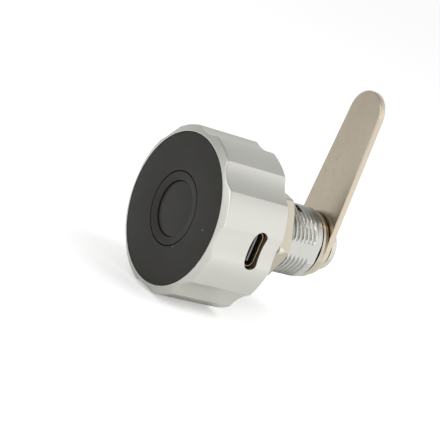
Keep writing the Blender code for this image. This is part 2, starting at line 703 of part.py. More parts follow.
def make_lock_bolt(material, bolt_axis):
    """Round bolt with a key along one side and a bore for the lead screw."""
    bore = SCREW_RADIUS + SCREW_CLEARANCE
    bm = bmesh.new()
    add_turned(bm, [
        (bore, BOLT_FRONT),
        (BOLT_RADIUS, BOLT_FRONT),
        (BOLT_RADIUS, BOLT_REAR - BOLT_TIP_CHAMFER),
        (BOLT_RADIUS - BOLT_TIP_CHAMFER, BOLT_REAR),
        (0.0, BOLT_REAR),
        (0.0, BOLT_BORE_END),
        (bore, BOLT_BORE_END),
    ])
    bolt = new_piece("lock_bolt", bm, material, bolt_axis)
    root = (bore + BOLT_RADIUS) / 2
    top = BOLT_RADIUS + KEY_HEIGHT
    key = bmesh.new()
    add_prism(key, rectangle(KEY_WIDTH, top - root, (0.0, (top + root) / 2)),
              BOLT_FRONT + FIT, COVER_FRONT - REST_GAP - BOLT_TRAVEL)
    join(bolt, "bolt_key", key)


def make_bolt_guide(material, axis):
    """Block behind the main board whose keyed bore guides the bolt."""
    front = BOARD_REAR + REST_GAP
    bm = bmesh.new()
    add_prism(bm, rounded_rectangle(GUIDE_SIZE, GUIDE_SIZE, GUIDE_CORNER, BOLT_PLACE, 2),
              front, USB_REAR)
    guide = new_piece("bolt_guide", bm, material, axis)
    half = KEY_WIDTH / 2 + RUN
    top = BOLT_RADIUS + KEY_HEIGHT + RUN
    side = math.asin(half / (BOLT_RADIUS + RUN))
    outline = arc(BOLT_RADIUS + RUN, math.pi / 2 + side, math.tau + math.pi / 2 - side, STEPS, BOLT_PLACE)
    outline += [(BOLT_PLACE[0] + half, top), (BOLT_PLACE[0] - half, top)]
    bore = bmesh.new()
    add_prism(bore, outline, front - OVERCUT, USB_REAR + OVERCUT)
    cut(guide, "guide_bore", bore)


def spindle_screw_positions():
    return ring_positions(SPINDLE_SCREW_CIRCLE, SPINDLE_SCREW_COUNT, FIRST_SPINDLE_SCREW_ANGLE)


def make_rear_cover(material, axis):
    """Disc that closes the knob and carries the spindle's head."""
    bm = bmesh.new()
    add_tube(bm, BORE_RADIUS, CAVITY_RADIUS - FIT, COVER_FRONT, COVER_REAR, FINE_STEPS)
    cover = new_piece("rear_cover", bm, material, axis)
    low = COVER_FRONT - OVERCUT
    high = COVER_REAR + OVERCUT
    floor = COVER_REAR - COVER_HEAD - FIT
    holes = bmesh.new()
    stepped = [
        (0.0, low),
        (COVER_SCREW_RADIUS + FIT, low),
        (COVER_SCREW_RADIUS + FIT, floor),
        (COVER_HEAD_RADIUS + FIT, floor),
        (COVER_HEAD_RADIUS + FIT, high),
        (0.0, high),
    ]
    for place in boss_positions():
        add_turned(holes, stepped, SMALL_STEPS, place)
    for place in spindle_screw_positions():
        add_rod(holes, SPINDLE_SCREW_RADIUS + FIT, low, high, centre=place)
    add_rod(holes, BOLT_RADIUS + RUN, low, high, STEPS, BOLT_PLACE)
    cut(cover, "cover_holes", holes)


def make_cover_screws(material, axis):
    """Screws with heads sunk in the cover and shanks in the housing's bosses."""
    head_front = COVER_REAR - COVER_HEAD
    end = COVER_REAR - COVER_SCREW_LENGTH
    profile = [
        (0.0, end),
        (COVER_SCREW_RADIUS, end),
        (COVER_SCREW_RADIUS, head_front),
        (COVER_HEAD_RADIUS, head_front),
        (COVER_HEAD_RADIUS, COVER_REAR),
        (0.0, COVER_REAR),
    ]
    for index, place in enumerate(boss_positions()):
        bm = bmesh.new()
        add_turned(bm, profile, SMALL_STEPS, place)
        new_piece(f"cover_screw_{index + 1}", bm, material, axis)


def make_spindle(material, axis):
    """Shaft from the rear cover through the barrel, squared for the stop washer and cam."""
    shoulder = STOP_FRONT - REST_GAP / 2
    outline = clipped_square(SQUARE, SPINDLE_RADIUS, SQUARE_STEPS)
    bore_end = CAM_HEAD_FRONT - CAM_SCREW_LENGTH - OVERCUT
    bm = bmesh.new()
    add_turned(bm, [
        (0.0, SPINDLE_HEAD_FRONT),
        (SPINDLE_HEAD_RADIUS, SPINDLE_HEAD_FRONT),
        (SPINDLE_HEAD_RADIUS, SPINDLE_HEAD_REAR),
        (SPINDLE_RADIUS, SPINDLE_HEAD_REAR),
        (SPINDLE_RADIUS, shoulder),
        (0.0, shoulder),
    ])
    spindle = new_piece("spindle", bm, material, axis)
    square = bmesh.new()
    add_prism(square, outline, shoulder - OVERCUT, SPINDLE_END)
    join(spindle, "spindle_square", square)
    holes = bmesh.new()
    add_rod(holes, CAM_SCREW_RADIUS + FIT, bore_end, SPINDLE_END + OVERCUT)
    for place in spindle_screw_positions():
        add_rod(holes, SPINDLE_SCREW_RADIUS + FIT, SPINDLE_HEAD_FRONT - OVERCUT,
                SPINDLE_HEAD_REAR + OVERCUT, centre=place)
    cut(spindle, "spindle_holes", holes)


def make_spindle_screws(material, axis):
    """Small screws that hold the spindle's head to the rear cover."""
    head_rear = SPINDLE_HEAD_FRONT - FIT
    end = COVER_REAR - REST_GAP
    profile = [
        (0.0, head_rear - SPINDLE_SCREW_HEAD),
        (SPINDLE_SCREW_HEAD_RADIUS, head_rear - SPINDLE_SCREW_HEAD),
        (SPINDLE_SCREW_HEAD_RADIUS, head_rear),
        (SPINDLE_SCREW_RADIUS, head_rear),
        (SPINDLE_SCREW_RADIUS, end),
        (0.0, end),
    ]
    for index, place in enumerate(spindle_screw_positions()):
        bm = bmesh.new()
        add_turned(bm, profile, SMALL_STEPS, place)
        new_piece(f"spindle_screw_{index + 1}", bm, material, axis)


def make_thrust_washer(material):
    """Plastic washer between the turning cover and the barrel's flange."""
    inner = SPINDLE_RADIUS + REST_GAP
    bm = bmesh.new()
    add_tube(bm, inner, inner + THRUST_WASHER_WIDTH, THRUST_FRONT, THRUST_REAR)
    new_piece("thrust_washer", bm, material)


def barrel_angles():
    """Angles round the barrel, with a point where crest and root meet the edges of each flat."""
    half = BARREL_FLATS / 2
    crest = math.acos(half / BARREL_RADIUS)
    root = math.acos(min(1.0, half / (BARREL_RADIUS - THREAD_DEPTH)))
    angles = []
    for side in (0.0, math.pi):
        angles += [side, side + root]
        for step in range(BARREL_ARC_STEPS + 1):
            angles.append(side + crest + (math.pi - 2 * crest) * step / BARREL_ARC_STEPS)
        angles.append(side + math.pi - root)
    return angles + [math.tau]


def thread_profile(angle):
    """The barrel's threaded side at an angle, as (radius, y) points; it runs out at both ends."""
    turns = math.ceil((THREAD_END - THREAD_START) / THREAD_PITCH) + 1
    points = []
    for turn in range(turns):
        for place, cut_share in THREAD_FORM:
            y = THREAD_START + THREAD_PITCH * (turn + place - angle / math.tau)
            y = min(max(y, THREAD_START), THREAD_END)
            run = min(1.0, (y - THREAD_START) / THREAD_RUNOUT, (THREAD_END - y) / THREAD_RUNOUT)
            points.append((BARREL_RADIUS - THREAD_DEPTH * cut_share * run, y))
    return points


def barrel_profile(angle):
    """The barrel cut through at an angle: bore, flange, thread and end, with the flats' depth."""
    flat = BARREL_FLATS / 2 / max(abs(math.cos(angle)), BARREL_FLATS / 2 / FLANGE_RADIUS)
    outside = [(BARREL_RADIUS, 0.0)] + thread_profile(angle)
    outside += [(BARREL_RADIUS, BARREL_LENGTH - BARREL_CHAMFER),
                (BARREL_RADIUS - BARREL_CHAMFER, BARREL_LENGTH)]
    return [
        (BORE_RADIUS, BARREL_LENGTH),
        (BORE_RADIUS, FLANGE_FRONT),
        (FLANGE_RADIUS - FLANGE_CHAMFER, FLANGE_FRONT),
        (FLANGE_RADIUS, FLANGE_FRONT + FLANGE_CHAMFER),
        (FLANGE_RADIUS, 0.0),
    ] + [(min(radius, flat), y) for radius, y in outside]


def make_barrel(material):
    """Flanged, threaded barrel with two flats, a bore, and pockets for bolt and lug."""
    bm = bmesh.new()
    cuts = []
    for angle in barrel_angles():
        places = [(polar(radius, angle), y) for radius, y in barrel_profile(angle)]
        cuts.append([bm.verts.new((x, y, z)) for (x, z), y in places])
    for first, second in zip(cuts, cuts[1:]):
        for index in range(len(first)):
            bm.faces.new((first[index - 1], first[index], second[index], second[index - 1]))
    barrel = new_piece("barrel", bm, material)
    pockets = bmesh.new()
    for angle in (BOLT_ANGLE, BOLT_ANGLE - TURN_RANGE):
        add_rod(pockets, BOLT_RADIUS + RUN, FLANGE_FRONT - OVERCUT,
                BOLT_REAR + BOLT_TRAVEL + BOLT_POCKET_SPACE, centre=polar(BOLT_CIRCLE_RADIUS, angle))
    swing = LUG_ANGLE / 2 + LUG_PLAY
    track = sector(LUG_INNER_RADIUS - RUN, LUG_OUTER_RADIUS + RUN, LUG_CENTRE - TURN_RANGE - swing,
                   LUG_CENTRE + swing, TRACK_STEPS)
    add_prism(pockets, track, STOP_FRONT - LUG_LENGTH - REST_GAP, BARREL_LENGTH + OVERCUT)
    cut(barrel, "barrel_pockets", pockets)


def make_mounting_nut(material):
    """Hexagon nut with both faces chamfered at the corners."""
    corner = NUT_ACROSS_FLATS / math.sqrt(3)
    reach = corner + REST_GAP
    drop = (reach - NUT_CHAMFER_RADIUS) * math.tan(NUT_CHAMFER_ANGLE)
    bm = bmesh.new()
    add_prism(bm, ring_positions(corner, 6, NUT_TURN), NUT_FRONT - OVERCUT, NUT_REAR + OVERCUT)
    nut = new_piece("mounting_nut", bm, material)
    turned_form = bmesh.new()
    add_turned(turned_form, [
        (BARREL_RADIUS + FIT, NUT_FRONT),
        (NUT_CHAMFER_RADIUS, NUT_FRONT),
        (reach, NUT_FRONT + drop),
        (reach, NUT_REAR - drop),
        (NUT_CHAMFER_RADIUS, NUT_REAR),
        (BARREL_RADIUS + FIT, NUT_REAR),
    ], FINE_STEPS)
    boolean(nut, "nut_turned_form", turned_form, "INTERSECT")


def cut_square_hole(target, name, low, high):
    """A hole for the spindle's squared end."""
    hole = bmesh.new()
    add_prism(hole, clipped_square(SQUARE + 2 * FIT, SPINDLE_RADIUS + FIT, SQUARE_STEPS),
              low - OVERCUT, high + OVERCUT)
    cut(target, name, hole)


def make_stop_washer(material, axis):
    """Washer on the square, whose lug limits the turn in the barrel's end."""
    bm = bmesh.new()
    add_rod(bm, STOP_RADIUS, STOP_FRONT, STOP_REAR, STEPS)
    washer = new_piece("stop_washer", bm, material, axis)
    lug = bmesh.new()
    add_prism(lug, sector(LUG_INNER_RADIUS, LUG_OUTER_RADIUS, LUG_CENTRE - LUG_ANGLE / 2,
                          LUG_CENTRE + LUG_ANGLE / 2, LUG_STEPS),
              STOP_FRONT - LUG_LENGTH, STOP_FRONT + STOP_THICKNESS / 2)
    join(washer, "stop_lug", lug)
    cut_square_hole(washer, "stop_square", STOP_FRONT, STOP_REAR)


def cam_outline():
    """Tapered bar between two round ends."""
    length = CAM_REACH - CAM_TIP_RADIUS
    lean = math.asin((CAM_BASE_RADIUS - CAM_TIP_RADIUS) / length)
    tip = arc(CAM_TIP_RADIUS, lean, math.pi - lean, STEPS // 3, (0.0, length))
    base = arc(CAM_BASE_RADIUS, math.pi - lean, math.tau + lean, STEPS // 2)
    return tip + base


def make_cam(material, axis):
    """Flat cam with softened edges and a squared hole."""
    bm = bmesh.new()
    add_prism(bm, cam_outline(), CAM_FRONT, CAM_REAR)
    cam = new_piece("cam", bm, material, axis)
    soften = cam.modifiers.new("soft_edges", "BEVEL")
    soften.width = CAM_EDGE
    soften.segments = 2
    soften.limit_method = "ANGLE"
    soften.angle_limit = SMOOTH_ANGLE
    cut_square_hole(cam, "cam_square", CAM_FRONT, CAM_REAR)


def make_spring_washer(material, axis):
    """Split lock washer under the cam screw's head."""
    inner = CAM_SCREW_RADIUS + REST_GAP
    half = math.asin(SPRING_WASHER_SLIT / 2 / inner)
    outline = sector(inner, SPRING_WASHER_RADIUS, half - math.pi + SLIT_LEAN, math.pi - half,
                     STEPS)
    outline[-1] = polar(inner, half - math.pi)
    bm = bmesh.new()
    add_prism(bm, outline, SPRING_WASHER_FRONT, SPRING_WASHER_REAR)
    new_piece("spring_washer", bm, material, axis)


def make_cam_screw(material, axis):
    """Pan-head screw that clamps the cam to the spindle."""
    head_rear = CAM_HEAD_FRONT + CAM_SCREW_HEAD
    end = CAM_HEAD_FRONT - CAM_SCREW_LENGTH
    centre = (CAM_SCREW_HEAD_RADIUS - CAM_SCREW_HEAD_ROUND, head_rear - CAM_SCREW_HEAD_ROUND)
    profile = [(0.0, end), (CAM_SCREW_RADIUS, end), (CAM_SCREW_RADIUS, CAM_HEAD_FRONT),
               (CAM_SCREW_HEAD_RADIUS, CAM_HEAD_FRONT)]
    profile += arc(CAM_SCREW_HEAD_ROUND, 0.0, math.pi / 2, 5, centre)
    profile.append((0.0, head_rear))
    bm = bmesh.new()
    add_turned(bm, profile)
    screw = new_piece("cam_screw", bm, material, axis)
    long = DRIVE_SLOT_LENGTH / 2
    half = DRIVE_SLOT_WIDTH / 2
    cross = []
    for quarter in range(4):
        turn = math.pi / 2 * quarter
        for x, z in [(long, -half), (long, half), (half, half)]:
            cross.append((x * math.cos(turn) - z * math.sin(turn), x * math.sin(turn) + z * math.cos(turn)))
    slots = bmesh.new()
    add_prism(slots, cross, head_rear - DRIVE_SLOT_DEPTH, head_rear + OVERCUT)
    cut(screw, "drive_slots", slots)


def make_knob(axis):
    """Everything of the knob that turns as one, in front of the barrel."""
    make_knob_housing(finish_material("satin_alloy", (0.60, 0.60, 0.58), 0.32, 1.0), axis)
    make_face_plate(finish_material("black_face", (0.045, 0.044, 0.039), 0.6, 0.0), axis)
    make_sensor_bezel(finish_material("black_bezel", (0.045, 0.044, 0.039), 0.55, 0.0), axis)
    make_fingerprint_sensor(finish_material("black_pad", (0.05, 0.048, 0.042), 0.5, 0.0), axis)
    make_status_light_guide(finish_material("clear_guide", (0.8, 0.82, 0.85), 0.4, 0.0), axis)
    make_sensor_board(finish_material("small_board", (0.02, 0.12, 0.05), 0.45, 0.0), axis)
    make_sensor_ribbon(finish_material("ribbon_film", (0.45, 0.22, 0.05), 0.4, 0.0), axis)
    make_inner_frame(finish_material("frame_plastic", (0.04, 0.04, 0.042), 0.6, 0.0), axis)
    make_battery(finish_material("cell_wrap", (0.55, 0.57, 0.6), 0.35, 0.6), axis)
    make_main_board(finish_material("main_board_green", (0.02, 0.14, 0.06), 0.45, 0.0), axis)
    make_usb_shell(finish_material("socket_shell", (0.42, 0.36, 0.27), 0.3, 1.0), axis)
    make_usb_tongue(finish_material("socket_tongue", (0.02, 0.02, 0.02), 0.5, 0.0), axis)
    make_drive_motor(finish_material("motor_case", (0.6, 0.6, 0.6), 0.3, 1.0), axis)
    make_bolt_guide(finish_material("guide_plastic", (0.75, 0.75, 0.72), 0.5, 0.0), axis)
    make_rear_cover(finish_material("cover_alloy", (0.5, 0.5, 0.49), 0.45, 1.0), axis)
    make_cover_screws(finish_material("cover_screw_steel", (0.45, 0.45, 0.45), 0.35, 1.0), axis)


def make_bolt_drive(bolt_axis):
    """The bolt and the screw that moves it, on their own axis in the knob."""
    make_lead_screw(finish_material("screw_brass", (0.6, 0.45, 0.2), 0.35, 1.0), bolt_axis)
    make_lock_bolt(finish_material("bolt_steel", (0.55, 0.55, 0.54), 0.3, 1.0), bolt_axis)


def make_cam_end(axis):
    """The spindle and what it carries behind the barrel."""
    make_spindle(finish_material("spindle_alloy", (0.55, 0.54, 0.5), 0.4, 1.0), axis)
    make_spindle_screws(finish_material("spindle_screw_steel", (0.4, 0.4, 0.4), 0.35, 1.0), axis)
    make_stop_washer(finish_material("stop_nickel", (0.62, 0.55, 0.44), 0.3, 1.0), axis)
    make_cam(finish_material("cam_nickel", (0.55, 0.49, 0.4), 0.35, 1.0), axis)
    make_spring_washer(finish_material("spring_steel", (0.5, 0.47, 0.42), 0.3, 1.0), axis)
    make_cam_screw(finish_material("screw_nickel", (0.75, 0.7, 0.62), 0.22, 1.0), axis)


def make_fixed_end():
    """The barrel and what stays with it on the panel."""
    make_barrel(finish_material("barrel_zinc", (0.58, 0.59, 0.58), 0.3, 1.0))
    make_mounting_nut(finish_material("nut_nickel", (0.66, 0.58, 0.46), 0.3, 1.0))
    make_thrust_washer(finish_material("washer_nylon", (0.8, 0.8, 0.77), 0.5, 0.0))


def main():
    clear_scene()
    knob_axis = new_axis("knob_axis")
    bolt_axis = new_axis("bolt_axis", (-BOLT_CIRCLE_RADIUS, 0.0, 0.0), knob_axis)
    make_knob(knob_axis)
    make_bolt_drive(bolt_axis)
    make_cam_end(knob_axis)
    make_fixed_end()


main()
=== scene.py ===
import math

import bmesh
import bpy
from bpy.props import FloatProperty, FloatVectorProperty, IntProperty, PointerProperty
from mathutils import Matrix, Vector


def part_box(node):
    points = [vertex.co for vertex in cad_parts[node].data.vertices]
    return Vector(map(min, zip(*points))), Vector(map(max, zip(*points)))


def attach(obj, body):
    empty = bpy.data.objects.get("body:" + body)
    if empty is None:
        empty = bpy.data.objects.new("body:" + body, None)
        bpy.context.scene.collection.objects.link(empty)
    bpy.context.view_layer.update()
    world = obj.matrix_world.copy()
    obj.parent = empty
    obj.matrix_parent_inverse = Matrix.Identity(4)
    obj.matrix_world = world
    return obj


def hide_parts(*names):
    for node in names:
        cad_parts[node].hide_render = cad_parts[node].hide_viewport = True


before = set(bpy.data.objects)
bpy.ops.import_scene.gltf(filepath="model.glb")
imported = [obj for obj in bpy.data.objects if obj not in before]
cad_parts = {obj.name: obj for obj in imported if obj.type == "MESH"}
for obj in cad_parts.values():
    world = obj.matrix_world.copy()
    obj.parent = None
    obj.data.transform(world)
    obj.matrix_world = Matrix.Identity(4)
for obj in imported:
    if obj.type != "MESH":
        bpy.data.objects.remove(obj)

bl_info = {
    "name": "Fingerprint Cam Lock",
    "version": (1, 0, 0),
    "blender": (4, 5, 0),
    "location": "View3D > Sidebar > Cam Lock",
    "description": "The visible pieces, finishes and studio of a fingerprint cam lock",
    "category": "Object",
}

MM = 0.001
FINE_TURN = 192            # steps round the large turned pieces
TURN = 128                 # steps round the middle-sized ones
SMALL_TURN = 64            # steps round screws and bosses
ROUND_STEPS = 5            # steps round a softened edge
SMOOTH_ANGLE = math.radians(32)
MERGE_DISTANCE = 1e-7      # corners closer than this are one
CUT_PAST = 1.0 * MM        # how far a cutting form runs past what it cuts
FIT = 0.15 * MM            # round a piece in its pocket
LUG_SIDE = 8.6 * MM        # half the barrel's flats, outside the stop washer's lug
BEYOND_FLANGE = 0.5 * MM   # a place along the axis past the barrel's flange
PLAIN_WHITE = (1.0, 1.0, 1.0, 1.0)


# Places and sizes read from the frame

def span(node, axis=1):
    """Where a node starts and ends along one axis."""
    low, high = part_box(node)
    return low[axis], high[axis]


def centre(node):
    """The middle of a node, as seen along the lock's axis."""
    low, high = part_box(node)
    return (low.x + high.x) / 2, (low.z + high.z) / 2


def corner_places(node):
    """Each corner of a node, as its distance from the lock's axis and its place along it."""
    return [(math.hypot(corner.co.x, corner.co.z), corner.co.y)
            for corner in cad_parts[node].data.vertices]


def reach(node, beyond=-1.0):
    """How far a node reaches from the axis, in the part of it beyond a place along the axis."""
    return max(distance for distance, y in corner_places(node) if y > beyond)


def bore(node):
    return min(distance for distance, y in corner_places(node))


def front_at(node, distance):
    """Where a node starts along the axis, at a distance from it."""
    return min(y for radius, y in corner_places(node) if abs(radius - distance) < 0.05 * MM)


FACE, KNOB_REAR = span("knob_housing")
PLATE_FRONT, PLATE_REAR = span("face_plate")
BEZEL_REAR = span("sensor_bezel")[1]
WALL_FRONT, GUIDE_REAR = span("status_light_guide")
PAD_FRONT, PAD_REAR = span("fingerprint_sensor")
COVER_FRONT, COVER_REAR = span("rear_cover")
SOCKET_FRONT, SOCKET_REAR = span("usb_shell")
SOCKET_BACK, SOCKET_MOUTH = span("usb_shell", 0)
SOCKET_CENTRE = (SOCKET_FRONT + SOCKET_REAR) / 2
SOCKET_HEIGHT = SOCKET_REAR - SOCKET_FRONT
SOCKET_WIDTH = 2 * span("usb_shell", 2)[1]
TONGUE_BACK, TONGUE_TIP = span("usb_tongue", 0)
NUT_FRONT, NUT_REAR = span("mounting_nut")
FLANGE_FRONT, BARREL_END = span("barrel")
STOP_LUG_TIP, STOP_REAR = span("stop_washer")
STOP_FRONT = front_at("stop_washer", reach("stop_washer"))
CAM_FRONT, CAM_REAR = span("cam")
CAM_TOP = span("cam", 2)[1]
SPRING_FRONT, SPRING_REAR = span("spring_washer")
SCREW_END, SCREW_TOP = span("cam_screw")
LUG_MIDDLE = (bore("barrel") + LUG_SIDE) / 2
REST_GAP = SPRING_FRONT - CAM_REAR
HEAD_FRONT = SPRING_REAR + REST_GAP


# Settings

def length(name, description, default):
    return FloatProperty(name=name, description=description, default=default, subtype="DISTANCE",
                         unit="LENGTH", precision=5)


def turn_angle(name, description, degrees):
    return FloatProperty(name=name, description=description, default=math.radians(degrees),
                         subtype="ANGLE", unit="ROTATION")


def colour(name, description, default):
    return FloatVectorProperty(name=name, description=description, default=default, size=3,
                               min=0.0, max=1.0, subtype="COLOR")


def share(name, description, default):
    return FloatProperty(name=name, description=description, default=default, min=0.0, max=1.0,
                         subtype="FACTOR")


def amount(name, description, default):
    return FloatProperty(name=name, description=description, default=default)


class KnobSettings(bpy.types.PropertyGroup):
    radius: length("Radius", "Radius over the ridges", reach("knob_housing"))
    flute_count: IntProperty(name="Flutes", description="Hollow flutes round the knob", default=8)
    flute_angle: turn_angle("Flute Angle", "Angle that one flute takes up", 21.6)
    flute_depth: length("Flute Depth", "Depth of a flute under the ridges", 1.0 * MM)
    edge_softness: length("Edge Softness", "How softly a flute meets a ridge", 0.1 * MM)
    bevel_width: length("Bevel Width", "Radial width of the front bevel", 1.7 * MM)
    bevel_depth: length("Bevel Depth", "Depth of the front bevel along the axis", 1.0 * MM)
    wall: length("Wall", "Side wall at the bottom of a flute", 1.5 * MM)
    front_wall: length("Front Wall", "Thickness of the wall behind the face", 1.2 * MM)
    opening: length("Opening", "Radius of the hole in the front wall", 12.6 * MM)
    rear_chamfer: length("Rear Chamfer", "Chamfer round the rear edge", 0.4 * MM)
    alloy: colour("Alloy", "Colour of the satin alloy", (0.77, 0.768, 0.715))
    roughness: share("Roughness", "Roughness of the satin alloy", 0.33)


class FaceSettings(bpy.types.PropertyGroup):
    groove: length("Groove", "Width of the ring groove round the bezel", 0.25 * MM)
    black: colour("Black", "Colour of the matt black face", (0.017, 0.0155, 0.0098))
    pad: colour("Pad", "Colour of the sensor's pad", (0.0195, 0.018, 0.0125))
    roughness: share("Roughness", "Roughness of the matt black", 0.5)


class SocketSettings(bpy.types.PropertyGroup):
    slot_end: length("Slot End", "Slot beyond the shell at each end", 0.3 * MM)
    slot_side: length("Slot Side", "Slot beyond the shell on each side", 0.15 * MM)
    slot_round: length("Slot Edge", "Rounding of the slot's outer edge", 0.18 * MM)
    sheet: length("Sheet", "Thickness of the shell's sheet", 0.3 * MM)
    tongue_width: length("Tongue Width", "Width of the contact tongue", 6.7 * MM)
    tongue_thickness: length("Tongue Thickness", "Thickness of the contact tongue", 0.7 * MM)
    contacts: IntProperty(name="Contacts", description="Contacts on each side", default=12)
    contact_pitch: length("Contact Pitch", "From one contact to the next", 0.5 * MM)
    shell: colour("Shell", "Colour of the drawn shell", (0.50, 0.42, 0.31))
    # The slot's wall colour is the painted shade inside the slot.
    wall: colour("Wall", "Colour of the slot's walls", (0.25, 0.2, 0.145))
    gold: colour("Gold", "Colour of the contacts", (0.83, 0.58, 0.25))


class BarrelSettings(bpy.types.PropertyGroup):
    across_flats: length("Across Flats", "Size over the barrel's flats", 17.2 * MM)
    pitch: length("Pitch", "Pitch of the barrel's thread", 1.3 * MM)
    thread_depth: length("Thread Depth", "Depth of the thread", 0.43 * MM)
    thread_start: length("Thread Start", "From the flange to the first turn", 1.0 * MM)
    plain_end: length("Plain End", "Length without thread at the cam's end", 1.5 * MM)
    run_out: length("Run Out", "Length over which the thread gets shallow at its ends", 0.6 * MM)
    end_chamfer: length("End Chamfer", "Chamfer at the barrel's end", 0.2 * MM)
    nut_across: length("Nut Size", "Size over the nut's flats", 23.0 * MM)
    nut_turn: turn_angle("Nut Turn", "How far the nut is turned on the barrel", -1.6)
    nut_corner: length("Nut Corner", "Softness of the nut's corners", 0.5 * MM)
    zinc: colour("Zinc", "Colour of the plated barrel", (0.71, 0.71, 0.665))
    nickel: colour("Nickel", "Colour of the nickel-plated nut and washers", (0.68, 0.63, 0.52))


class CamSettings(bpy.types.PropertyGroup):
    base_radius: length("Base Radius", "Radius round the screw", 7.8 * MM)
    tip_radius: length("Tip Radius", "Radius of the tip", 6.1 * MM)
    stamped_edge: length("Stamped Edge", "Rounding of the front edge", 0.28 * MM)
    sheared_edge: length("Sheared Edge", "Rounding of the rear edge", 0.12 * MM)
    square: length("Square", "Size of the square hole", 8.3 * MM)
    head_round: length("Head Rounding", "Rounding of the screw's head", 0.9 * MM)
    recess: length("Recess", "Length of the cross recess", 5.2 * MM)
    nickel: colour("Nickel", "Colour of the cam's plating", (0.68, 0.60, 0.48))
    screw: colour("Screw", "Colour of the screw's plating", (0.80, 0.75, 0.67))


class StudioSettings(bpy.types.PropertyGroup):
    white: amount("White", "Strength of the white backdrop", 1.0)
    fill: amount("Fill", "Strength of the light from all round", 0.62)
    ceiling: share("Ceiling", "How much darker the ceiling is in reflections", 0.6)
    left_side: share("Left Side", "How much darker the left side is in reflections", 0.35)
    front_side: share("Front Side", "How much darker the front is in reflections", 0.25)
    key: amount("Key Light", "Power of the large soft lamp in watts", 2.4)
    reflector: amount("Reflector", "Strength of the card lying at the right", 0.95)
    strip: amount("Strips", "Strength of the narrow cards at the front", 4.5)
    lift: amount("Floor Lift", "How much the floor is whitened for the camera", 0.38)
    sheen: amount("Floor Sheen", "How much the floor is whitened in reflections", 0.02)
    focal_length: amount("Focal Length", "Focal length in millimetres", 141.44)


class LockSettings(bpy.types.PropertyGroup):
    knob: PointerProperty(type=KnobSettings)
    face: PointerProperty(type=FaceSettings)
    socket: PointerProperty(type=SocketSettings)
    barrel: PointerProperty(type=BarrelSettings)
    cam: PointerProperty(type=CamSettings)
    studio: PointerProperty(type=StudioSettings)


# Outlines

def polar(radius, angle):
    return radius * math.cos(angle), radius * math.sin(angle)


def arc(radius, start, end, steps):
    return [polar(radius, start + (end - start) * step / steps) for step in range(steps + 1)]


def between(start, end, count):
    """Points that divide a straight line into equal parts, without its ends."""
    return [tuple(a + (b - a) * step / count for a, b in zip(start, end)) for step in range(1, count)]


def even_angles(steps):
    return [math.tau * step / steps for step in range(steps)]


def soften(corners, steps=ROUND_STEPS):
    """Round a closed outline whose corners are two coordinates and a radius each."""
    made = []
    for index, (across, along, size) in enumerate(corners):
        corner = Vector((across, along))
        back = Vector(corners[index - 1][:2]) - corner
        ahead = Vector(corners[(index + 1) % len(corners)][:2]) - corner
        if size == 0.0:
            made.append(tuple(corner))
            continue
        half = back.angle(ahead) / 2
        tangent = min(size / math.tan(half), 0.48 * back.length, 0.48 * ahead.length)
        radius = tangent * math.tan(half)
        middle = (back.normalized() + ahead.normalized()).normalized()
        turning = corner + middle * (radius / math.sin(half))
        start = corner + back.normalized() * tangent - turning
        end = corner + ahead.normalized() * tangent - turning
        first = math.atan2(start.y, start.x)
        sweep = math.remainder(math.atan2(end.y, end.x) - first, math.tau)
        made += [(turning.x + x, turning.y + y) for x, y in arc(radius, first, first + sweep, steps)]
    return made


def divide(outline, spacing_of):
    """A closed outline with more points, given how far apart they may lie on each stretch."""
    made = []
    for index, point in enumerate(outline):
        after = outline[(index + 1) % len(outline)]
        count = max(1, math.ceil(math.dist(point, after) / spacing_of(point, after)))
        made += [point, *between(point, after, count)]
    return made


def stadium(width, height, steps, straight):
    """A slot outline with round ends, long along Z and centred, as (y, z) points."""
    radius = height / 2
    upper = [(y, z + width / 2 - radius) for y, z in arc(radius, 0.0, math.pi, steps)]
    lower = [(-y, -z) for y, z in upper]
    return (upper + between(upper[-1], lower[0], straight)
            + lower + between(lower[-1], upper[0], straight))


# Solids

def skin(bm, rings, closed=True):
    """Join rings of the same number of corners with faces."""
    count = len(rings[0])
    pairs = list(zip(rings, rings[1:]))
    if closed:
        pairs.append((rings[-1], rings[0]))
    for first, second in pairs:
        for index in range(count):
            after = (index + 1) % count
            corners = []
            for corner in (first[index], first[after], second[after], second[index]):
                if corner not in corners:
                    corners.append(corner)
            if len(corners) > 2:
                bm.faces.new(corners)


def loft(bm, rings):
    """A closed solid through rings of corners."""
    skin(bm, rings, closed=False)
    bm.faces.new(rings[0])
    bm.faces.new(rings[-1])


def turned(bm, profile, angles, middle=(0.0, 0.0)):
    """Turn a closed profile of (radius, y) points about an axis along Y."""
    rings = []
    for radius, y in profile:
        if radius < MERGE_DISTANCE:
            rings.append([bm.verts.new((middle[0], y, middle[1]))] * len(angles))
            continue
        places = [polar(radius, angle) for angle in angles]
        rings.append([bm.verts.new((middle[0] + x, y, middle[1] + z)) for x, z in places])
    skin(bm, rings)
    return rings


def link(name, data):
    """Place a new object in the scene."""
    thing = bpy.data.objects.new(name, data)
    bpy.context.scene.collection.objects.link(thing)
    return thing


def smooth(piece):
    piece.data.shade_smooth()
    piece.data.set_sharp_from_angle(angle=SMOOTH_ANGLE)


def new_object(name, bm, material=None):
    """Make an object of finished solids, with merged corners and outward faces."""
    bmesh.ops.remove_doubles(bm, verts=bm.verts, dist=MERGE_DISTANCE)
    bmesh.ops.recalc_face_normals(bm, faces=bm.faces)
    mesh = bpy.data.meshes.new(name)
    bm.to_mesh(mesh)
    bm.free()
    piece = link(name, mesh)
    if material:
        mesh.materials.append(material)
    smooth(piece)
    return piece


def turned_piece(name, corners, steps, material=None, soft_steps=ROUND_STEPS):
    """A turned piece. Each corner of its profile is a radius, a place along Y and a softness."""
    bm = bmesh.new()
    turned(bm, soften(corners, soft_steps), even_angles(steps))
    return new_object(name, bm, material)


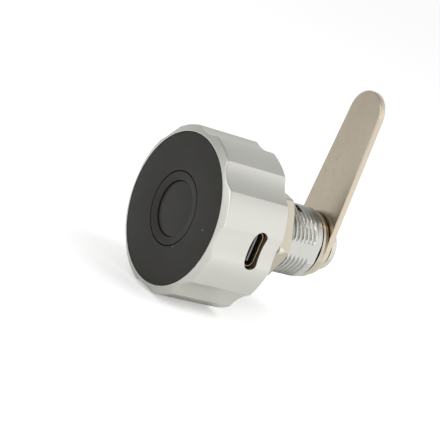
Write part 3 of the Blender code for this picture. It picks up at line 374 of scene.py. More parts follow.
def marked_piece(name, profile, labels, angles, material):
    """A turned piece whose profile also has numbers, kept at its corners under the labels."""
    bm = bmesh.new()
    layers = [bm.verts.layers.float.new(label) for label in labels]
    rings = turned(bm, [row[:2] for row in profile], angles)
    for ring, row in zip(rings, profile):
        for corner in ring:
            for layer, value in zip(layers, row[2:]):
                corner[layer] = value
    return new_object(name, bm, material)


def lofted_piece(name, sections, material=None):
    """A solid through sections, each a place along Y and an outline of (x, z) points."""
    bm = bmesh.new()
    loft(bm, [[bm.verts.new((x, y, z)) for x, z in outline] for y, outline in sections])
    return new_object(name, bm, material)


def bake(piece):
    """Turn a piece's modifiers into its mesh."""
    graph = bpy.context.evaluated_depsgraph_get()
    mesh = bpy.data.meshes.new_from_object(piece.evaluated_get(graph))
    plain = piece.data
    piece.modifiers.clear()
    piece.data = mesh
    mesh.name = piece.name
    bpy.data.meshes.remove(plain)
    smooth(piece)


def cut(piece, form):
    """Take a form away from a piece."""
    step = piece.modifiers.new("cut", "BOOLEAN")
    step.operation = "DIFFERENCE"
    step.solver = "EXACT"
    step.object = form
    bpy.context.view_layer.update()
    bake(piece)
    bpy.data.objects.remove(form)


def place(piece, body, slot, *nodes):
    """Let a piece ride on its body and stand for nodes of the frame."""
    if nodes:
        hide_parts(*nodes)
    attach(piece, body)


# Formulas in node trees

class Quantity:
    """A socket of a node tree, worked with as in a formula."""

    def __init__(self, tree, socket):
        self.tree = tree
        self.socket = socket

    def __add__(self, other):
        return compute(self.tree, "ADD", self, other)

    def __sub__(self, other):
        return compute(self.tree, "SUBTRACT", self, other)

    def __rsub__(self, other):
        return compute(self.tree, "SUBTRACT", other, self)

    def __mul__(self, other):
        return compute(self.tree, "MULTIPLY", self, other)

    def __truediv__(self, other):
        return compute(self.tree, "DIVIDE", self, other)

    def __rtruediv__(self, other):
        return compute(self.tree, "DIVIDE", other, self)


def feed(tree, socket, value):
    """Give a socket a quantity or a plain value."""
    if isinstance(value, Quantity):
        tree.links.new(value.socket, socket)
    else:
        socket.default_value = value


def add_node(tree, kind, given, output=0, **settings):
    """Place a node with its settings and inputs, and give one of its outputs."""
    node = tree.nodes.new(kind)
    for name, value in settings.items():
        setattr(node, name, value)
    for label, value in given.items():
        feed(tree, node.inputs[label], value)
    return Quantity(tree, node.outputs[output])


def compute(tree, operation, *values):
    """A math node whose inputs are quantities or plain numbers."""
    return add_node(tree, "ShaderNodeMath", dict(enumerate(values)), operation=operation)


def norm(*parts):
    """The root of the sum of the squares."""
    total = parts[0] * parts[0]
    for part in parts[1:]:
        total = total + part * part
    return compute(total.tree, "SQRT", total)


def smooth_step(tree, value, low, high, kind="SMOOTHSTEP", to_low=0.0, to_high=1.0):
    """One value below the low end and another above the high end, with a change between them."""
    return add_node(tree, "ShaderNodeMapRange", {"Value": value, "From Min": low, "From Max": high,
                                                 "To Min": to_low, "To Max": to_high},
                    "Result", interpolation_type=kind)


def separate(tree, vector):
    node = tree.nodes.new("ShaderNodeSeparateXYZ")
    feed(tree, node.inputs[0], vector)
    return [Quantity(tree, output) for output in node.outputs]


def combine(tree, x, y, z):
    return add_node(tree, "ShaderNodeCombineXYZ", {0: x, 1: y, 2: z})


# Geometry trees

def new_tree(title, **inputs):
    """A geometry tree with inputs of the given kinds, and these inputs as quantities."""
    tree = bpy.data.node_groups.new(title, "GeometryNodeTree")
    tree.interface.new_socket("Geometry", in_out="OUTPUT", socket_type="NodeSocketGeometry")
    kinds = {"Geometry": "Geometry", **inputs, "Material": "Material"}
    for name, kind in kinds.items():
        tree.interface.new_socket(name.replace("_", " "), in_out="INPUT", socket_type=f"NodeSocket{kind}")
    start = tree.nodes.new("NodeGroupInput")
    return tree, {name: Quantity(tree, output) for name, output in zip(kinds, start.outputs)}


def finish_tree(tree, given, geometry):
    """End a geometry tree in real geometry with its material."""
    real = add_node(tree, "GeometryNodeRealizeInstances", {"Geometry": geometry})
    painted = add_node(tree, "GeometryNodeSetMaterial", {"Geometry": real, "Material": given["Material"]})
    feed(tree, tree.nodes.new("NodeGroupOutput").inputs["Geometry"], painted)
    return tree


def named_number(tree, name):
    return add_node(tree, "GeometryNodeInputNamedAttribute", {"Name": name}, "Attribute",
                    data_type="FLOAT")


def grow(piece, tree, **values):
    """Run a geometry tree on a piece and keep its result as a plain mesh."""
    step = piece.modifiers.new(tree.name, "NODES")
    step.node_group = tree
    for item in tree.interface.items_tree:
        name = item.name.replace(" ", "_")
        if item.in_out == "INPUT" and name in values:
            step[item.identifier] = values[name]
    bpy.context.view_layer.update()
    bake(piece)


def move_corners(tree, given, x, y, z):
    """Finish a geometry tree that moves each corner to a new place."""
    position = combine(tree, x, y, z)
    moved = add_node(tree, "GeometryNodeSetPosition",
                     {"Geometry": given["Geometry"], "Position": position})
    return finish_tree(tree, given, moved)


def flute_tree():
    """Press hollow flutes into a plain turned knob, and let its front bevel follow them."""
    names = ("Knob_Radius", "Flute_Pitch", "Hollow_Radius", "Hollow_Distance", "Edge_Softness",
             "Bevel_Slope")
    tree, given = new_tree("Knob Flutes", **{name: "Float" for name in names})
    knob_radius, pitch, hollow_radius, hollow_distance, softness, slope = [given[name] for name in names]
    x, y, z = separate(tree, add_node(tree, "GeometryNodeInputPosition", {}))
    radius = norm(x, z)
    in_flute = compute(tree, "WRAP", compute(tree, "ARCTAN2", z, x), pitch * 0.5, pitch * -0.5)
    across = hollow_distance * compute(tree, "SINE", in_flute)
    deep = compute(tree, "MAXIMUM", hollow_radius * hollow_radius - across * across, 0.0)
    hollow = hollow_distance * compute(tree, "COSINE", in_flute) - compute(tree, "SQRT", deep)
    surface = compute(tree, "SMOOTH_MIN", knob_radius, hollow, softness)
    inward = surface - knob_radius
    scale = (radius + named_number(tree, "flute_follow") * inward) / radius
    lower = named_number(tree, "bevel_follow") * inward * slope
    return move_corners(tree, given, x * scale, y + lower, z * scale)


def thread_tree():
    """Cut a helical thread and two flats into a plain round barrel."""
    names = ("Pitch", "Thread_Start", "Thread_Depth", "Half_Flats", "Edge_Softness")
    tree, given = new_tree("Barrel Thread", **{name: "Float" for name in names})
    pitch, first, depth, half_flats, softness = [given[name] for name in names]
    x, y, z = separate(tree, add_node(tree, "GeometryNodeInputPosition", {}))
    radius = norm(x, z)
    angle = compute(tree, "ARCTAN2", z, x)
    along = (y - first) / pitch + angle / math.tau - 0.6
    ridge = compute(tree, "PINGPONG", along, 0.5) * 2.0
    groove = smooth_step(tree, 1.0 - ridge, 0.2, 0.8)
    threaded = radius - depth * groove * named_number(tree, "thread_follow")
    turned_away = compute(tree, "MAXIMUM", compute(tree, "ABSOLUTE", compute(tree, "COSINE", angle)), 0.05)
    flattened = compute(tree, "SMOOTH_MIN", threaded, half_flats / turned_away, softness)
    scale = (radius + named_number(tree, "flat_follow") * (flattened - radius)) / radius
    return move_corners(tree, given, x * scale, y, z * scale)


def copy_to(tree, given, points):
    """Finish a geometry tree that puts a copy of a form on each point."""
    form = add_node(tree, "GeometryNodeObjectInfo", {"Object": given["Form"]}, "Geometry")
    copies = add_node(tree, "GeometryNodeInstanceOnPoints", {"Points": points, "Instance": form})
    return finish_tree(tree, given, copies)


def circle_tree():
    """Copies of a form on a circle round the lock's axis."""
    tree, given = new_tree("Copies On Circle", Form="Object", Count="Int", Radius="Float",
                           First_Angle="Float")
    circle = add_node(tree, "GeometryNodeMeshCircle",
                      {"Vertices": given["Count"], "Radius": given["Radius"]})
    upright = add_node(tree, "GeometryNodeTransform",
                       {"Geometry": circle, "Rotation": (math.pi / 2, 0.0, 0.0)})
    turn = combine(tree, 0.0, given["First_Angle"] * -1.0, 0.0)
    return copy_to(tree, given, add_node(tree, "GeometryNodeTransform",
                                         {"Geometry": upright, "Rotation": turn}))


def row_tree():
    """Copies of a form in a straight row along Z, centred on the axis."""
    tree, given = new_tree("Copies In Row", Form="Object", Count="Int", Pitch="Float")
    first = combine(tree, 0.0, 0.0, (given["Count"] - 1.0) * given["Pitch"] * -0.5)
    step = combine(tree, 0.0, 0.0, given["Pitch"])
    return copy_to(tree, given, add_node(tree, "GeometryNodeMeshLine", {
        "Count": given["Count"], "Start Location": first, "Offset": step}))


def spread_copies(name, form, tree, material, **values):
    """A piece made of copies of one form."""
    piece = link(name, bpy.data.meshes.new(name))
    grow(piece, tree, Form=form, Material=material, **values)
    bpy.data.objects.remove(form)
    return piece


# Shader groups

def noise(tree, vector, scale, detail=2.0):
    return add_node(tree, "ShaderNodeTexNoise", {"Vector": vector, "Scale": scale, "Detail": detail})


def fine_grain(tree, vector, grain_size, cloud_size):
    """Fine even grain, with slow cloudy changes over the surface."""
    return noise(tree, vector, 1.0 / grain_size), noise(tree, vector, 1.0 / cloud_size)


def turned_lines(tree, vector, spacing):
    """Fine rings round the lock's axis, as a tool leaves on a turned face."""
    x, y, z = separate(tree, vector)
    return [noise(tree, combine(tree, norm(x, z) / spacing, y / spacing, 0.0), 1.0, 1.0)]


def drawn_lines(tree, vector, spacing, stretch):
    """Long fine lines along Z, as rolling and polishing leave on a strip."""
    x, y, z = separate(tree, vector)
    return [noise(tree, combine(tree, x / spacing, y / spacing, z / (spacing * stretch)), 1.0)]


def dust_specks(tree, vector, spacing, speck_size, rarity):
    """Sparse round specks of dust."""
    cells = tree.nodes.new("ShaderNodeTexVoronoi")
    feed(tree, cells.inputs["Vector"], vector)
    feed(tree, cells.inputs["Scale"], 1.0 / spacing)
    apart = Quantity(tree, cells.outputs["Distance"]) * spacing
    chance = separate(tree, Quantity(tree, cells.outputs["Color"]))[0]
    return [compute(tree, "LESS_THAN", apart, speck_size)
            * compute(tree, "GREATER_THAN", chance, rarity)]


def soft_spot(tree, vector, spot_x, spot_y, spot_z, radius, softness):
    """One soft round spot at a given place."""
    x, y, z = separate(tree, vector)
    away = norm(x - spot_x, y - spot_y, z - spot_z)
    return [1.0 - smooth_step(tree, away, radius, radius + softness)]


EFFECTS = {
    "Fine Grain": (fine_grain, ["Grain Size", "Cloud Size"], ["Grain", "Clouds"]),
    "Turned Lines": (turned_lines, ["Spacing"], ["Lines"]),
    "Drawn Lines": (drawn_lines, ["Spacing", "Stretch"], ["Lines"]),
    "Dust Specks": (dust_specks, ["Spacing", "Speck Size", "Rarity"], ["Specks"]),
    "Soft Spot": (soft_spot, ["X", "Y", "Z", "Radius", "Softness"], ["Spot"]),
}


def shader_group(name):
    """A shader group with number inputs, whose outputs its formula works out."""
    formula, inputs, outputs = EFFECTS[name]
    tree = bpy.data.node_groups.new(name, "ShaderNodeTree")
    tree.interface.new_socket("Vector", in_out="INPUT", socket_type="NodeSocketVector")
    for label in inputs:
        tree.interface.new_socket(label, in_out="INPUT", socket_type="NodeSocketFloat")
    for label in outputs:
        tree.interface.new_socket(label, in_out="OUTPUT", socket_type="NodeSocketFloat")
    start = tree.nodes.new("NodeGroupInput")
    end = tree.nodes.new("NodeGroupOutput")
    given = [Quantity(tree, start.outputs[label]) for label in ("Vector", *inputs)]
    for label, value in zip(outputs, formula(tree, *given)):
        feed(tree, end.inputs[label], value)
    return tree


def object_place(tree):
    """The Object coordinates of a material."""
    node = tree.nodes.get("Object Place")
    if node:
        return Quantity(tree, node.outputs["Object"])
    return add_node(tree, "ShaderNodeTexCoord", {}, "Object", name="Object Place")


def effect(tree, name, *values):
    """Place a shader group in a material, with a value for each of its number inputs."""
    node = tree.nodes.new("ShaderNodeGroup")
    node.node_tree = bpy.data.node_groups.get(name) or shader_group(name)
    for socket, value in zip(node.inputs, (object_place(tree), *values)):
        feed(tree, socket, value)
    return [Quantity(tree, output) for output in node.outputs]


def spot(tree, x, y, z, radius, softness):
    """A soft spot in a material, with its place and sizes in millimetres."""
    return effect(tree, "Soft Spot", x * MM, y * MM, z * MM, radius * MM, softness * MM)[0]


# Colour, roughness and bump of a material

def principled(tree):
    """The inputs of a material's main shader."""
    return tree.nodes["Principled BSDF"].inputs


def plain_material(name, base, roughness, metallic):
    """A new material and its node tree."""
    material = bpy.data.materials.new(name)
    material.use_nodes = True
    given = principled(material.node_tree)
    given["Base Color"].default_value = (*base, 1.0)
    given["Roughness"].default_value = roughness
    given["Metallic"].default_value = metallic
    return material, material.node_tree


def paint_over(tree, mask, tint, under=None):
    """Lay a colour over the one given or the one that is there, where the mask says."""
    mix = tree.nodes.new("ShaderNodeMix")
    mix.data_type = "RGBA"
    feed(tree, mix.inputs["Factor"], mask)
    low, high = [socket for socket in mix.inputs if socket.type == "RGBA"]
    base = principled(tree)["Base Color"]
    feed(tree, low, (*under, 1.0) if under else Quantity(tree, base.links[0].from_socket))
    feed(tree, high, (*tint, 1.0))
    feed(tree, base, Quantity(tree, next(socket for socket in mix.outputs if socket.type == "RGBA")))


def vary_roughness(tree, mask, low, high):
    feed(tree, principled(tree)["Roughness"], smooth_step(tree, mask, 0.25, 0.75, "LINEAR", low, high))


def raise_surface(tree, height, depth, strength=1.0):
    """A bump of the given depth."""
    bump = add_node(tree, "ShaderNodeBump", {"Height": height, "Distance": depth, "Strength": strength})
    feed(tree, principled(tree)["Normal"], bump)


def scaled(base, factor):
    return tuple(min(1.0, part * factor) for part in base)


# Finishes

def cloudy(name, base, metallic, roughness, spread, shades, grain, cloud):
    """A material whose colour and roughness change slowly between two ends."""
    material, tree = plain_material(name, base, roughness, metallic)
    grains, clouds = effect(tree, "Fine Grain", grain, cloud)
    paint_over(tree, clouds, scaled(base, shades[1]), scaled(base, shades[0]))
    vary_roughness(tree, clouds, roughness + spread[0], roughness + spread[1])
    return material, tree, grains


def satin_metal(name, base, roughness, grain=0.09 * MM, depth=0.0005 * MM):
    """Blasted or tumbled metal with a soft even sheen."""
    material, tree, grains = cloudy(name, base, 1.0, roughness, (-0.015, 0.015), (0.985, 1.015),
                                    grain, 5 * MM)
    raise_surface(tree, grains, depth)
    return material


def turned_metal(name, base, roughness, spacing=0.07 * MM):
    """Turned metal with fine rings round the axis."""
    material, tree = cloudy(name, base, 1.0, roughness, (-0.04, 0.05), (0.95, 1.04),
                            0.05 * MM, 3 * MM)[:2]
    raise_surface(tree, effect(tree, "Turned Lines", spacing)[0], 0.0008 * MM)
    return material


def moulded(name, base, roughness):
    """Plain moulded plastic with slight mottling."""
    material, tree, grains = cloudy(name, base, 0.0, roughness, (-0.05, 0.05), (0.93, 1.05),
                                    0.15 * MM, 3 * MM)
    raise_surface(tree, grains, 0.003 * MM, 0.5)
    return material


def drawn_metal(name, base, roughness):
    """Plated sheet with faint lines along the cam and a little staining."""
    material, tree = plain_material(name, base, roughness, 1.0)
    lines = effect(tree, "Drawn Lines", 0.12 * MM, 30.0)[0]
    grains, clouds = effect(tree, "Fine Grain", 1.1 * MM, 5 * MM)
    paint_over(tree, clouds, scaled(base, 1.05), scaled(base, 0.93))
    paint_over(tree, smooth_step(tree, grains, 0.5, 0.7) * 0.28, scaled(base, 0.8))
    vary_roughness(tree, lines, roughness - 0.02, roughness + 0.04)
    raise_surface(tree, lines, 0.0003 * MM)
    return material


def plated_barrel(name, base, roughness):
    """Bright plated casting with painted shade in the thread's grooves, by the cam and below, and dark marks
    by the nut.
    """
    material, tree = plain_material(name, base, roughness, 1.0)
    grains, clouds = effect(tree, "Fine Grain", 0.35 * MM, 4 * MM)
    x, y, z = separate(tree, object_place(tree))
    on_flat = smooth_step(tree, compute(tree, "ABSOLUTE", x), 8.4 * MM, 8.55 * MM)
    root_shade = (1.0 - smooth_step(tree, norm(x, z), 8.6 * MM, 9.05 * MM)) * (1.0 - on_flat)
    # Three small dark marks on the barrel's top near the nut, also rougher.
    dark_marks = [spot(tree, *place_at, 0.35, 0.6)
              for place_at in ((1.3, 13.4, 9.0), (2.4, 13.4, 8.8), (3.2, 14.0, 8.6))]
    in_dark_marks = compute(tree, "MAXIMUM", compute(tree, "MAXIMUM", dark_marks[0], dark_marks[1]), dark_marks[2])
    paint_over(tree, clouds, scaled(base, 1.03), scaled(base, 0.97))
    # Painted shade: the thread's grooves are darker, except on the flats.
    paint_over(tree, root_shade * 0.62, scaled(base, 0.35))
    # Painted shade: a dark patch on top near the barrel's end, beside the cam.
    paint_over(tree, spot(tree, 4, 19, 8.2, 0.8, 3.4) * 0.7, (0.17, 0.17, 0.16))
    # Painted shade: a dark patch on the barrel's underside.
    paint_over(tree, spot(tree, 2.5, 15.5, -9, 2.5, 4) * 0.6, (0.2, 0.21, 0.18))
    paint_over(tree, in_dark_marks, (0.012, 0.012, 0.012))
    feed(tree, principled(tree)["Roughness"], in_dark_marks * 0.6 + clouds * 0.06 + roughness - 0.03)
    raise_surface(tree, grains, 0.0006 * MM)
    return material


def matt_black(name, base, roughness, dust=()):
    """Moulded matt black with fine grain, faint dust and a few brighter specks."""
    material, tree = plain_material(name, base, roughness, 0.0)
    grains, clouds = effect(tree, "Fine Grain", 0.12 * MM, 4 * MM)
    faint = effect(tree, "Dust Specks", 2.2 * MM, 0.06 * MM, 0.86)[0]
    paint_over(tree, faint, scaled(base, 2.2), base)
    for x, z, size in dust:
        paint_over(tree, spot(tree, x, PLATE_FRONT / MM, z, size, 0.05), (0.42, 0.4, 0.36))
    vary_roughness(tree, clouds, roughness - 0.03, roughness + 0.03)
    raise_surface(tree, grains, 0.003 * MM, 0.5)
    return material


def circuit_board(name, base):
    """Solder mask with lighter copper tracks under it."""
    material, tree = plain_material(name, base, 0.4, 0.0)
    tracks = smooth_step(tree, effect(tree, "Drawn Lines", 0.35 * MM, 12.0)[0], 0.52, 0.56)
    paint_over(tree, tracks, (base[0] + 0.03, base[1] * 1.7, base[2] + 0.02), base)
    raise_surface(tree, tracks, 0.01 * MM, 0.5)
    return material


def paint_shading_band(material, start, end, tint, above=-1.0):
    """Another colour between two places along the axis and above a height, as painted shade where it is
    darker and painted light where it is lighter.
    """
    tree = material.node_tree
    y, z = separate(tree, object_place(tree))[1:]
    soft = 0.05 * MM
    paint_over(tree, smooth_step(tree, y, start - soft, start + soft)
               * (1.0 - smooth_step(tree, y, end - soft, end + soft))
               * smooth_step(tree, z, above - 3.0 * MM, above + 3.0 * MM), tint)


# The knob's shell

def flute_sizes(knob):
    """Radius of a flute's hollow, and how far its centre lies from the axis."""
    half = knob.flute_angle / 2
    chord = knob.radius * math.sin(half)
    sink = knob.flute_depth - knob.radius * (1 - math.cos(half))
    hollow = (chord ** 2 + sink ** 2) / (2 * sink)
    return hollow, knob.radius - knob.flute_depth + hollow


def flute_radius(knob, z):
    """Radius of the side at a height in the flute on +X."""
    hollow, away = flute_sizes(knob)
    radius = knob.radius
    for _ in range(2):
        angle = math.asin(z / radius)
        deep = hollow ** 2 - (away * math.sin(angle)) ** 2
        radius = min(knob.radius, away * math.cos(angle) - math.sqrt(max(deep, 0.0)))
    return radius


def knob_angles(knob):
    """Angles round the knob, close together where a flute meets a ridge."""
    half = knob.flute_angle / 2
    pitch = math.tau / knob.flute_count
    shares = [0.0, 0.14, 0.28, 0.42, 0.56, 0.68, 0.78, 0.86, 0.92, 0.95, 0.97, 0.985, 0.995,
              1.005, 1.015, 1.03, 1.05, 1.09, 1.16, 1.26, 1.4, 1.56, 1.74, 1.92]
    offsets = sorted([half * part for part in shares] + [-half * part for part in shares[1:]])
    offsets.append(pitch / 2)
    return [pitch * index + offset for index in range(knob.flute_count) for offset in offsets]


def knob_profile(knob):
    """The shell's closed profile, with how far each point follows the flutes and the bevel."""
    rim = knob.radius - knob.bevel_width
    pocket = reach("face_plate") + FIT
    cavity = knob.radius - knob.flute_depth - knob.wall
    corner = FACE + knob.bevel_depth
    wall_rear = WALL_FRONT + knob.front_wall
    outline = soften([
        (pocket, FACE, 0.06 * MM), (rim, FACE, 0.12 * MM), (knob.radius, corner, 0.4 * MM),
        (knob.radius, KNOB_REAR - knob.rear_chamfer, 0.3 * MM),
        (knob.radius - knob.rear_chamfer, KNOB_REAR, 0.2 * MM), (cavity, KNOB_REAR, 0.1 * MM),
        (cavity, wall_rear, 0.0), (knob.opening, wall_rear, 0.1 * MM),
        (knob.opening, WALL_FRONT, 0.1 * MM), (pocket, WALL_FRONT, 0.0),
    ])

    def spacing(point, after):
        outside = min(point[0], after[0]) > cavity + 0.5 * MM and point[1] < KNOB_REAR - 0.2 * MM
        return 0.6 * MM if outside else 3.0 * MM

    profile = []
    for radius, y in divide(outline, spacing):
        follow = min(max((radius - rim) / knob.bevel_width, 0.0), 1.0)
        if y > corner + 3.0 * MM:
            edge = knob.radius - knob.rear_chamfer - 0.3 * MM
            follow = min(max((radius - cavity) / (edge - cavity), 0.0), 1.0)
        fade = min(max(1.0 - (y - corner - 0.4 * MM) / (3.0 * MM), 0.0), 1.0)
        profile.append((radius, y, follow, follow * fade * fade * (3.0 - 2.0 * fade)))
    return profile


def slot_form(knob, socket):
    """A form that cuts the socket's slot and rounds its outer edge along the fluted side."""
    inner = knob.radius - knob.flute_depth - knob.wall - CUT_PAST
    steps = [(0.0, None)]
    for across, down in arc(socket.slot_round, 0.0, math.radians(75), 6):
        steps.append((socket.slot_round - across, socket.slot_round - down))
    steps.append((socket.slot_round * 1.15, -0.8 * MM))
    bm = bmesh.new()
    rings = []
    for outward, depth in steps:
        outline = stadium(SOCKET_WIDTH + 2 * (socket.slot_end + outward),
                          SOCKET_HEIGHT + 2 * (socket.slot_side + outward), 20, 24)
        places = [inner if depth is None else math.sqrt(flute_radius(knob, z) ** 2 - z ** 2) - depth
                  for y, z in outline]
        rings.append([bm.verts.new((x, SOCKET_CENTRE + y, z)) for x, (y, z) in zip(places, outline)])
    loft(bm, rings)
    return new_object("slot_form", bm)


def paint_slot_shade(material, socket):
    """Painted shade on the alloy of the walls inside the socket's slot."""
    tree = material.node_tree
    x, y, z = separate(tree, object_place(tree))
    half = SOCKET_HEIGHT / 2 + socket.slot_side
    straight = SOCKET_WIDTH / 2 + socket.slot_end - half
    along = compute(tree, "MAXIMUM", compute(tree, "ABSOLUTE", z) - straight, 0.0)
    away = norm(along, y - SOCKET_CENTRE)
    inside = 1.0 - smooth_step(tree, away, half + 0.03 * MM, half + 0.1 * MM)
    # Painted shade: the slot's walls take the dark wall colour.
    paint_over(tree, inside * smooth_step(tree, x, 0.0, 1.0 * MM), socket.wall)


def make_knob_shell(knob, socket, material):
    """Fluted, bevelled shell with the socket's slot in one flute."""
    paint_slot_shade(material, socket)
    shell = marked_piece("knob_shell", knob_profile(knob), ("flute_follow", "bevel_follow"),
                         knob_angles(knob), material)
    hollow, away = flute_sizes(knob)
    grow(shell, flute_tree(), Knob_Radius=knob.radius, Flute_Pitch=math.tau / knob.flute_count,
         Hollow_Radius=hollow, Hollow_Distance=away, Edge_Softness=knob.edge_softness,
         Bevel_Slope=knob.bevel_depth / knob.bevel_width, Material=material)
    cut(shell, slot_form(knob, socket))
    place(shell, "knob", "satin_alloy", "knob_housing")


def boss_circle():
    """Number of the cover's screws, the radius of their circle and the first one's angle."""
    x, z = centre("cover_screw_1")
    return {"Count": 4, "Radius": math.hypot(x, z), "First_Angle": math.atan2(z, x)}


def make_screw_bosses(knob, material):
    """Round bosses in the shell that take the cover's screws."""
    foot = WALL_FRONT + knob.front_wall
    top = COVER_FRONT - REST_GAP
    form = turned_piece("boss_form", [(0.95 * MM, foot, 0.0), (2.5 * MM, foot, 0.0),
                                      (2.5 * MM, top, 0.2 * MM), (0.95 * MM, top, 0.1 * MM)],
                        SMALL_TURN, material)
    place(spread_copies("shell_bosses", form, circle_tree(), material, **boss_circle()),
          "knob", "satin_alloy")


class LOCK_OT_knob_shell(bpy.types.Operator):
    """Make the knob's fluted shell with its bevel, slot and screw bosses"""

    bl_idname = "lock.knob_shell"
    bl_label = "Knob Shell"

    def execute(self, context):
        settings = context.scene.lock
        material = satin_metal("satin_alloy_finish", settings.knob.alloy, settings.knob.roughness)
        make_knob_shell(settings.knob, settings.socket, material)
        make_screw_bosses(settings.knob, material)
        return {"FINISHED"}


# The black face and the sensor

def make_face_plate(face):
    inner = bore("face_plate")
    outer = reach("face_plate")
    specks = [(5.81, -7.73, 0.11), (14.34, 0.2, 0.13)]
    material = matt_black("black_face_finish", face.black, face.roughness, specks)
    disc = turned_piece("front_disc", [
        (inner, PLATE_FRONT, 0.06 * MM), (outer, PLATE_FRONT, 0.08 * MM), (outer, PLATE_REAR, 0.0),
        (inner, PLATE_REAR, 0.0)], FINE_TURN, material)
    place(disc, "knob", "black_face", "face_plate")


def make_bezel(face):
    outer = bore("face_plate") - face.groove
    inner = bore("sensor_bezel")
    flange = reach("sensor_bezel")
    counterbore = reach("fingerprint_sensor") + FIT
    flange_front = GUIDE_REAR + REST_GAP
    material = matt_black("black_bezel_finish", face.black, face.roughness)
    ring = turned_piece("sensor_ring", [
        (outer, PLATE_FRONT, 0.1 * MM), (outer, flange_front, 0.0), (flange, flange_front, 0.1 * MM),
        (flange, BEZEL_REAR, 0.0), (counterbore, BEZEL_REAR, 0.0), (counterbore, WALL_FRONT, 0.0),
        (inner, WALL_FRONT, 0.0), (inner, front_at("sensor_bezel", inner), 0.05 * MM)],
        FINE_TURN, material)
    place(ring, "knob", "black_bezel", "sensor_bezel")


def make_sensor_pad(face):
    pad = bore("sensor_bezel") - FIT
    flange = reach("fingerprint_sensor")
    flange_front = WALL_FRONT + REST_GAP
    material = matt_black("black_pad_finish", face.pad, face.roughness - 0.05)
    touch_pad = turned_piece("touch_pad", [
        (0.0, PAD_FRONT, 0.0), (pad, PAD_FRONT, 0.06 * MM), (pad, flange_front, 0.0),
        (flange, flange_front, 0.0), (flange, PAD_REAR, 0.0), (0.0, PAD_REAR, 0.0)],
        FINE_TURN, material)
    place(touch_pad, "knob", "black_pad", "fingerprint_sensor")


class LOCK_OT_face(bpy.types.Operator):
    """Make the black face, the ring round the sensor and the sensor's pad"""

    bl_idname = "lock.face"
    bl_label = "Face and Sensor"

    def execute(self, context):
        face = context.scene.lock.face
        make_face_plate(face)
        make_bezel(face)
        make_sensor_pad(face)
        return {"FINISHED"}


# The charging socket

def slot_rings(bm, width, height, sections):
    """Slot outlines across X, each given as its place along X and an inset."""
    return [[bm.verts.new((x, SOCKET_CENTRE + y, z))
             for y, z in stadium(width - 2 * inset, height - 2 * inset, 16, 8)] for x, inset in sections]


def make_socket_shell(socket):
    """Drawn sheet shell with a rolled mouth, closed at the back."""
    edge = socket.sheet * 0.3
    inside = socket.sheet
    bm = bmesh.new()
    loft(bm, slot_rings(bm, SOCKET_WIDTH, SOCKET_HEIGHT, [
        (SOCKET_BACK, 0.2 * MM), (SOCKET_BACK + 0.2 * MM, 0.0), (SOCKET_MOUTH - edge, 0.0),
        (SOCKET_MOUTH - edge * 0.3, edge * 0.3), (SOCKET_MOUTH, edge), (SOCKET_MOUTH, inside - edge),
        (SOCKET_MOUTH - edge * 0.3, inside - edge * 0.3), (SOCKET_MOUTH - edge, inside),
        (SOCKET_BACK + inside, inside)]))
    material = satin_metal("socket_shell_finish", socket.shell, 0.26, depth=0.0004 * MM)
    place(new_object("socket_case", bm, material), "knob", "socket_shell", "usb_shell")


def make_socket_tongue(socket):
    """Moulded tongue with a chamfered tip lightened as a painted highlight, on a base that fills the shell's
    back.
    """
    base_end = TONGUE_BACK + 1.0 * MM
    wall = socket.sheet + FIT
    bm = bmesh.new()
    loft(bm, slot_rings(bm, SOCKET_WIDTH - 2 * wall, SOCKET_HEIGHT - 2 * wall, [
        (TONGUE_BACK, 0.0), (base_end - 0.1 * MM, 0.0), (base_end, 0.1 * MM)]))
    blade = []
    for x, slim in ((base_end, 0.0), (TONGUE_TIP - 0.3 * MM, 0.0), (TONGUE_TIP, 0.14 * MM)):
        half_w = socket.tongue_width / 2 - slim
        half_t = socket.tongue_thickness / 2 - slim
        corners = [(-half_t, -half_w), (half_t, -half_w), (half_t, half_w), (-half_t, half_w)]
        outline = soften([(*corner, 0.1 * MM) for corner in corners])
        blade.append([bm.verts.new((x, SOCKET_CENTRE + y, z)) for y, z in outline])
    loft(bm, blade)
    material = moulded("socket_tongue_finish", (0.018, 0.018, 0.018), 0.3)
    tree = material.node_tree
    x = separate(tree, object_place(tree))[0]
    # Painted highlight: the tongue's tip is lighter.
    tip_highlight = smooth_step(tree, x, TONGUE_TIP - 0.12 * MM, TONGUE_TIP - 0.04 * MM)
    paint_over(tree, tip_highlight, (0.26, 0.28, 0.28))
    place(new_object("contact_tongue", bm, material), "knob", "socket_tongue", "usb_tongue")


def make_contacts(socket):
    """Rows of gold contacts on both sides of the tongue."""
    start = TONGUE_TIP - 4.2 * MM
    end = TONGUE_TIP - 0.7 * MM
    half = 0.13 * MM
    proud = 0.02 * MM
    bm = bmesh.new()
    for side in (-1, 1):
        rings = []
        for rise, tip, wide in ((-proud, end, half), (proud, end - proud, half * 0.8)):
            y = SOCKET_CENTRE + side * (socket.tongue_thickness / 2 + rise)
            rings.append([bm.verts.new((x, y, z)) for x, z in
                          ((start, -wide), (tip, -wide), (tip, wide), (start, wide))])
        loft(bm, rings)
    material = satin_metal("gold_contact_finish", socket.gold, 0.2, grain=0.04 * MM)
    contacts = spread_copies("socket_contacts", new_object("contact_form", bm, material), row_tree(),
                             material, Count=socket.contacts, Pitch=socket.contact_pitch)
    place(contacts, "knob", "socket_tongue")


class LOCK_OT_socket(bpy.types.Operator):
    """Make the charging socket's shell, tongue and contacts"""

    bl_idname = "lock.socket"
    bl_label = "Charging Socket"

    def execute(self, context):
        socket = context.scene.lock.socket
        make_socket_shell(socket)
        make_socket_tongue(socket)
        make_contacts(socket)
        return {"FINISHED"}


# The rear cover and its screws

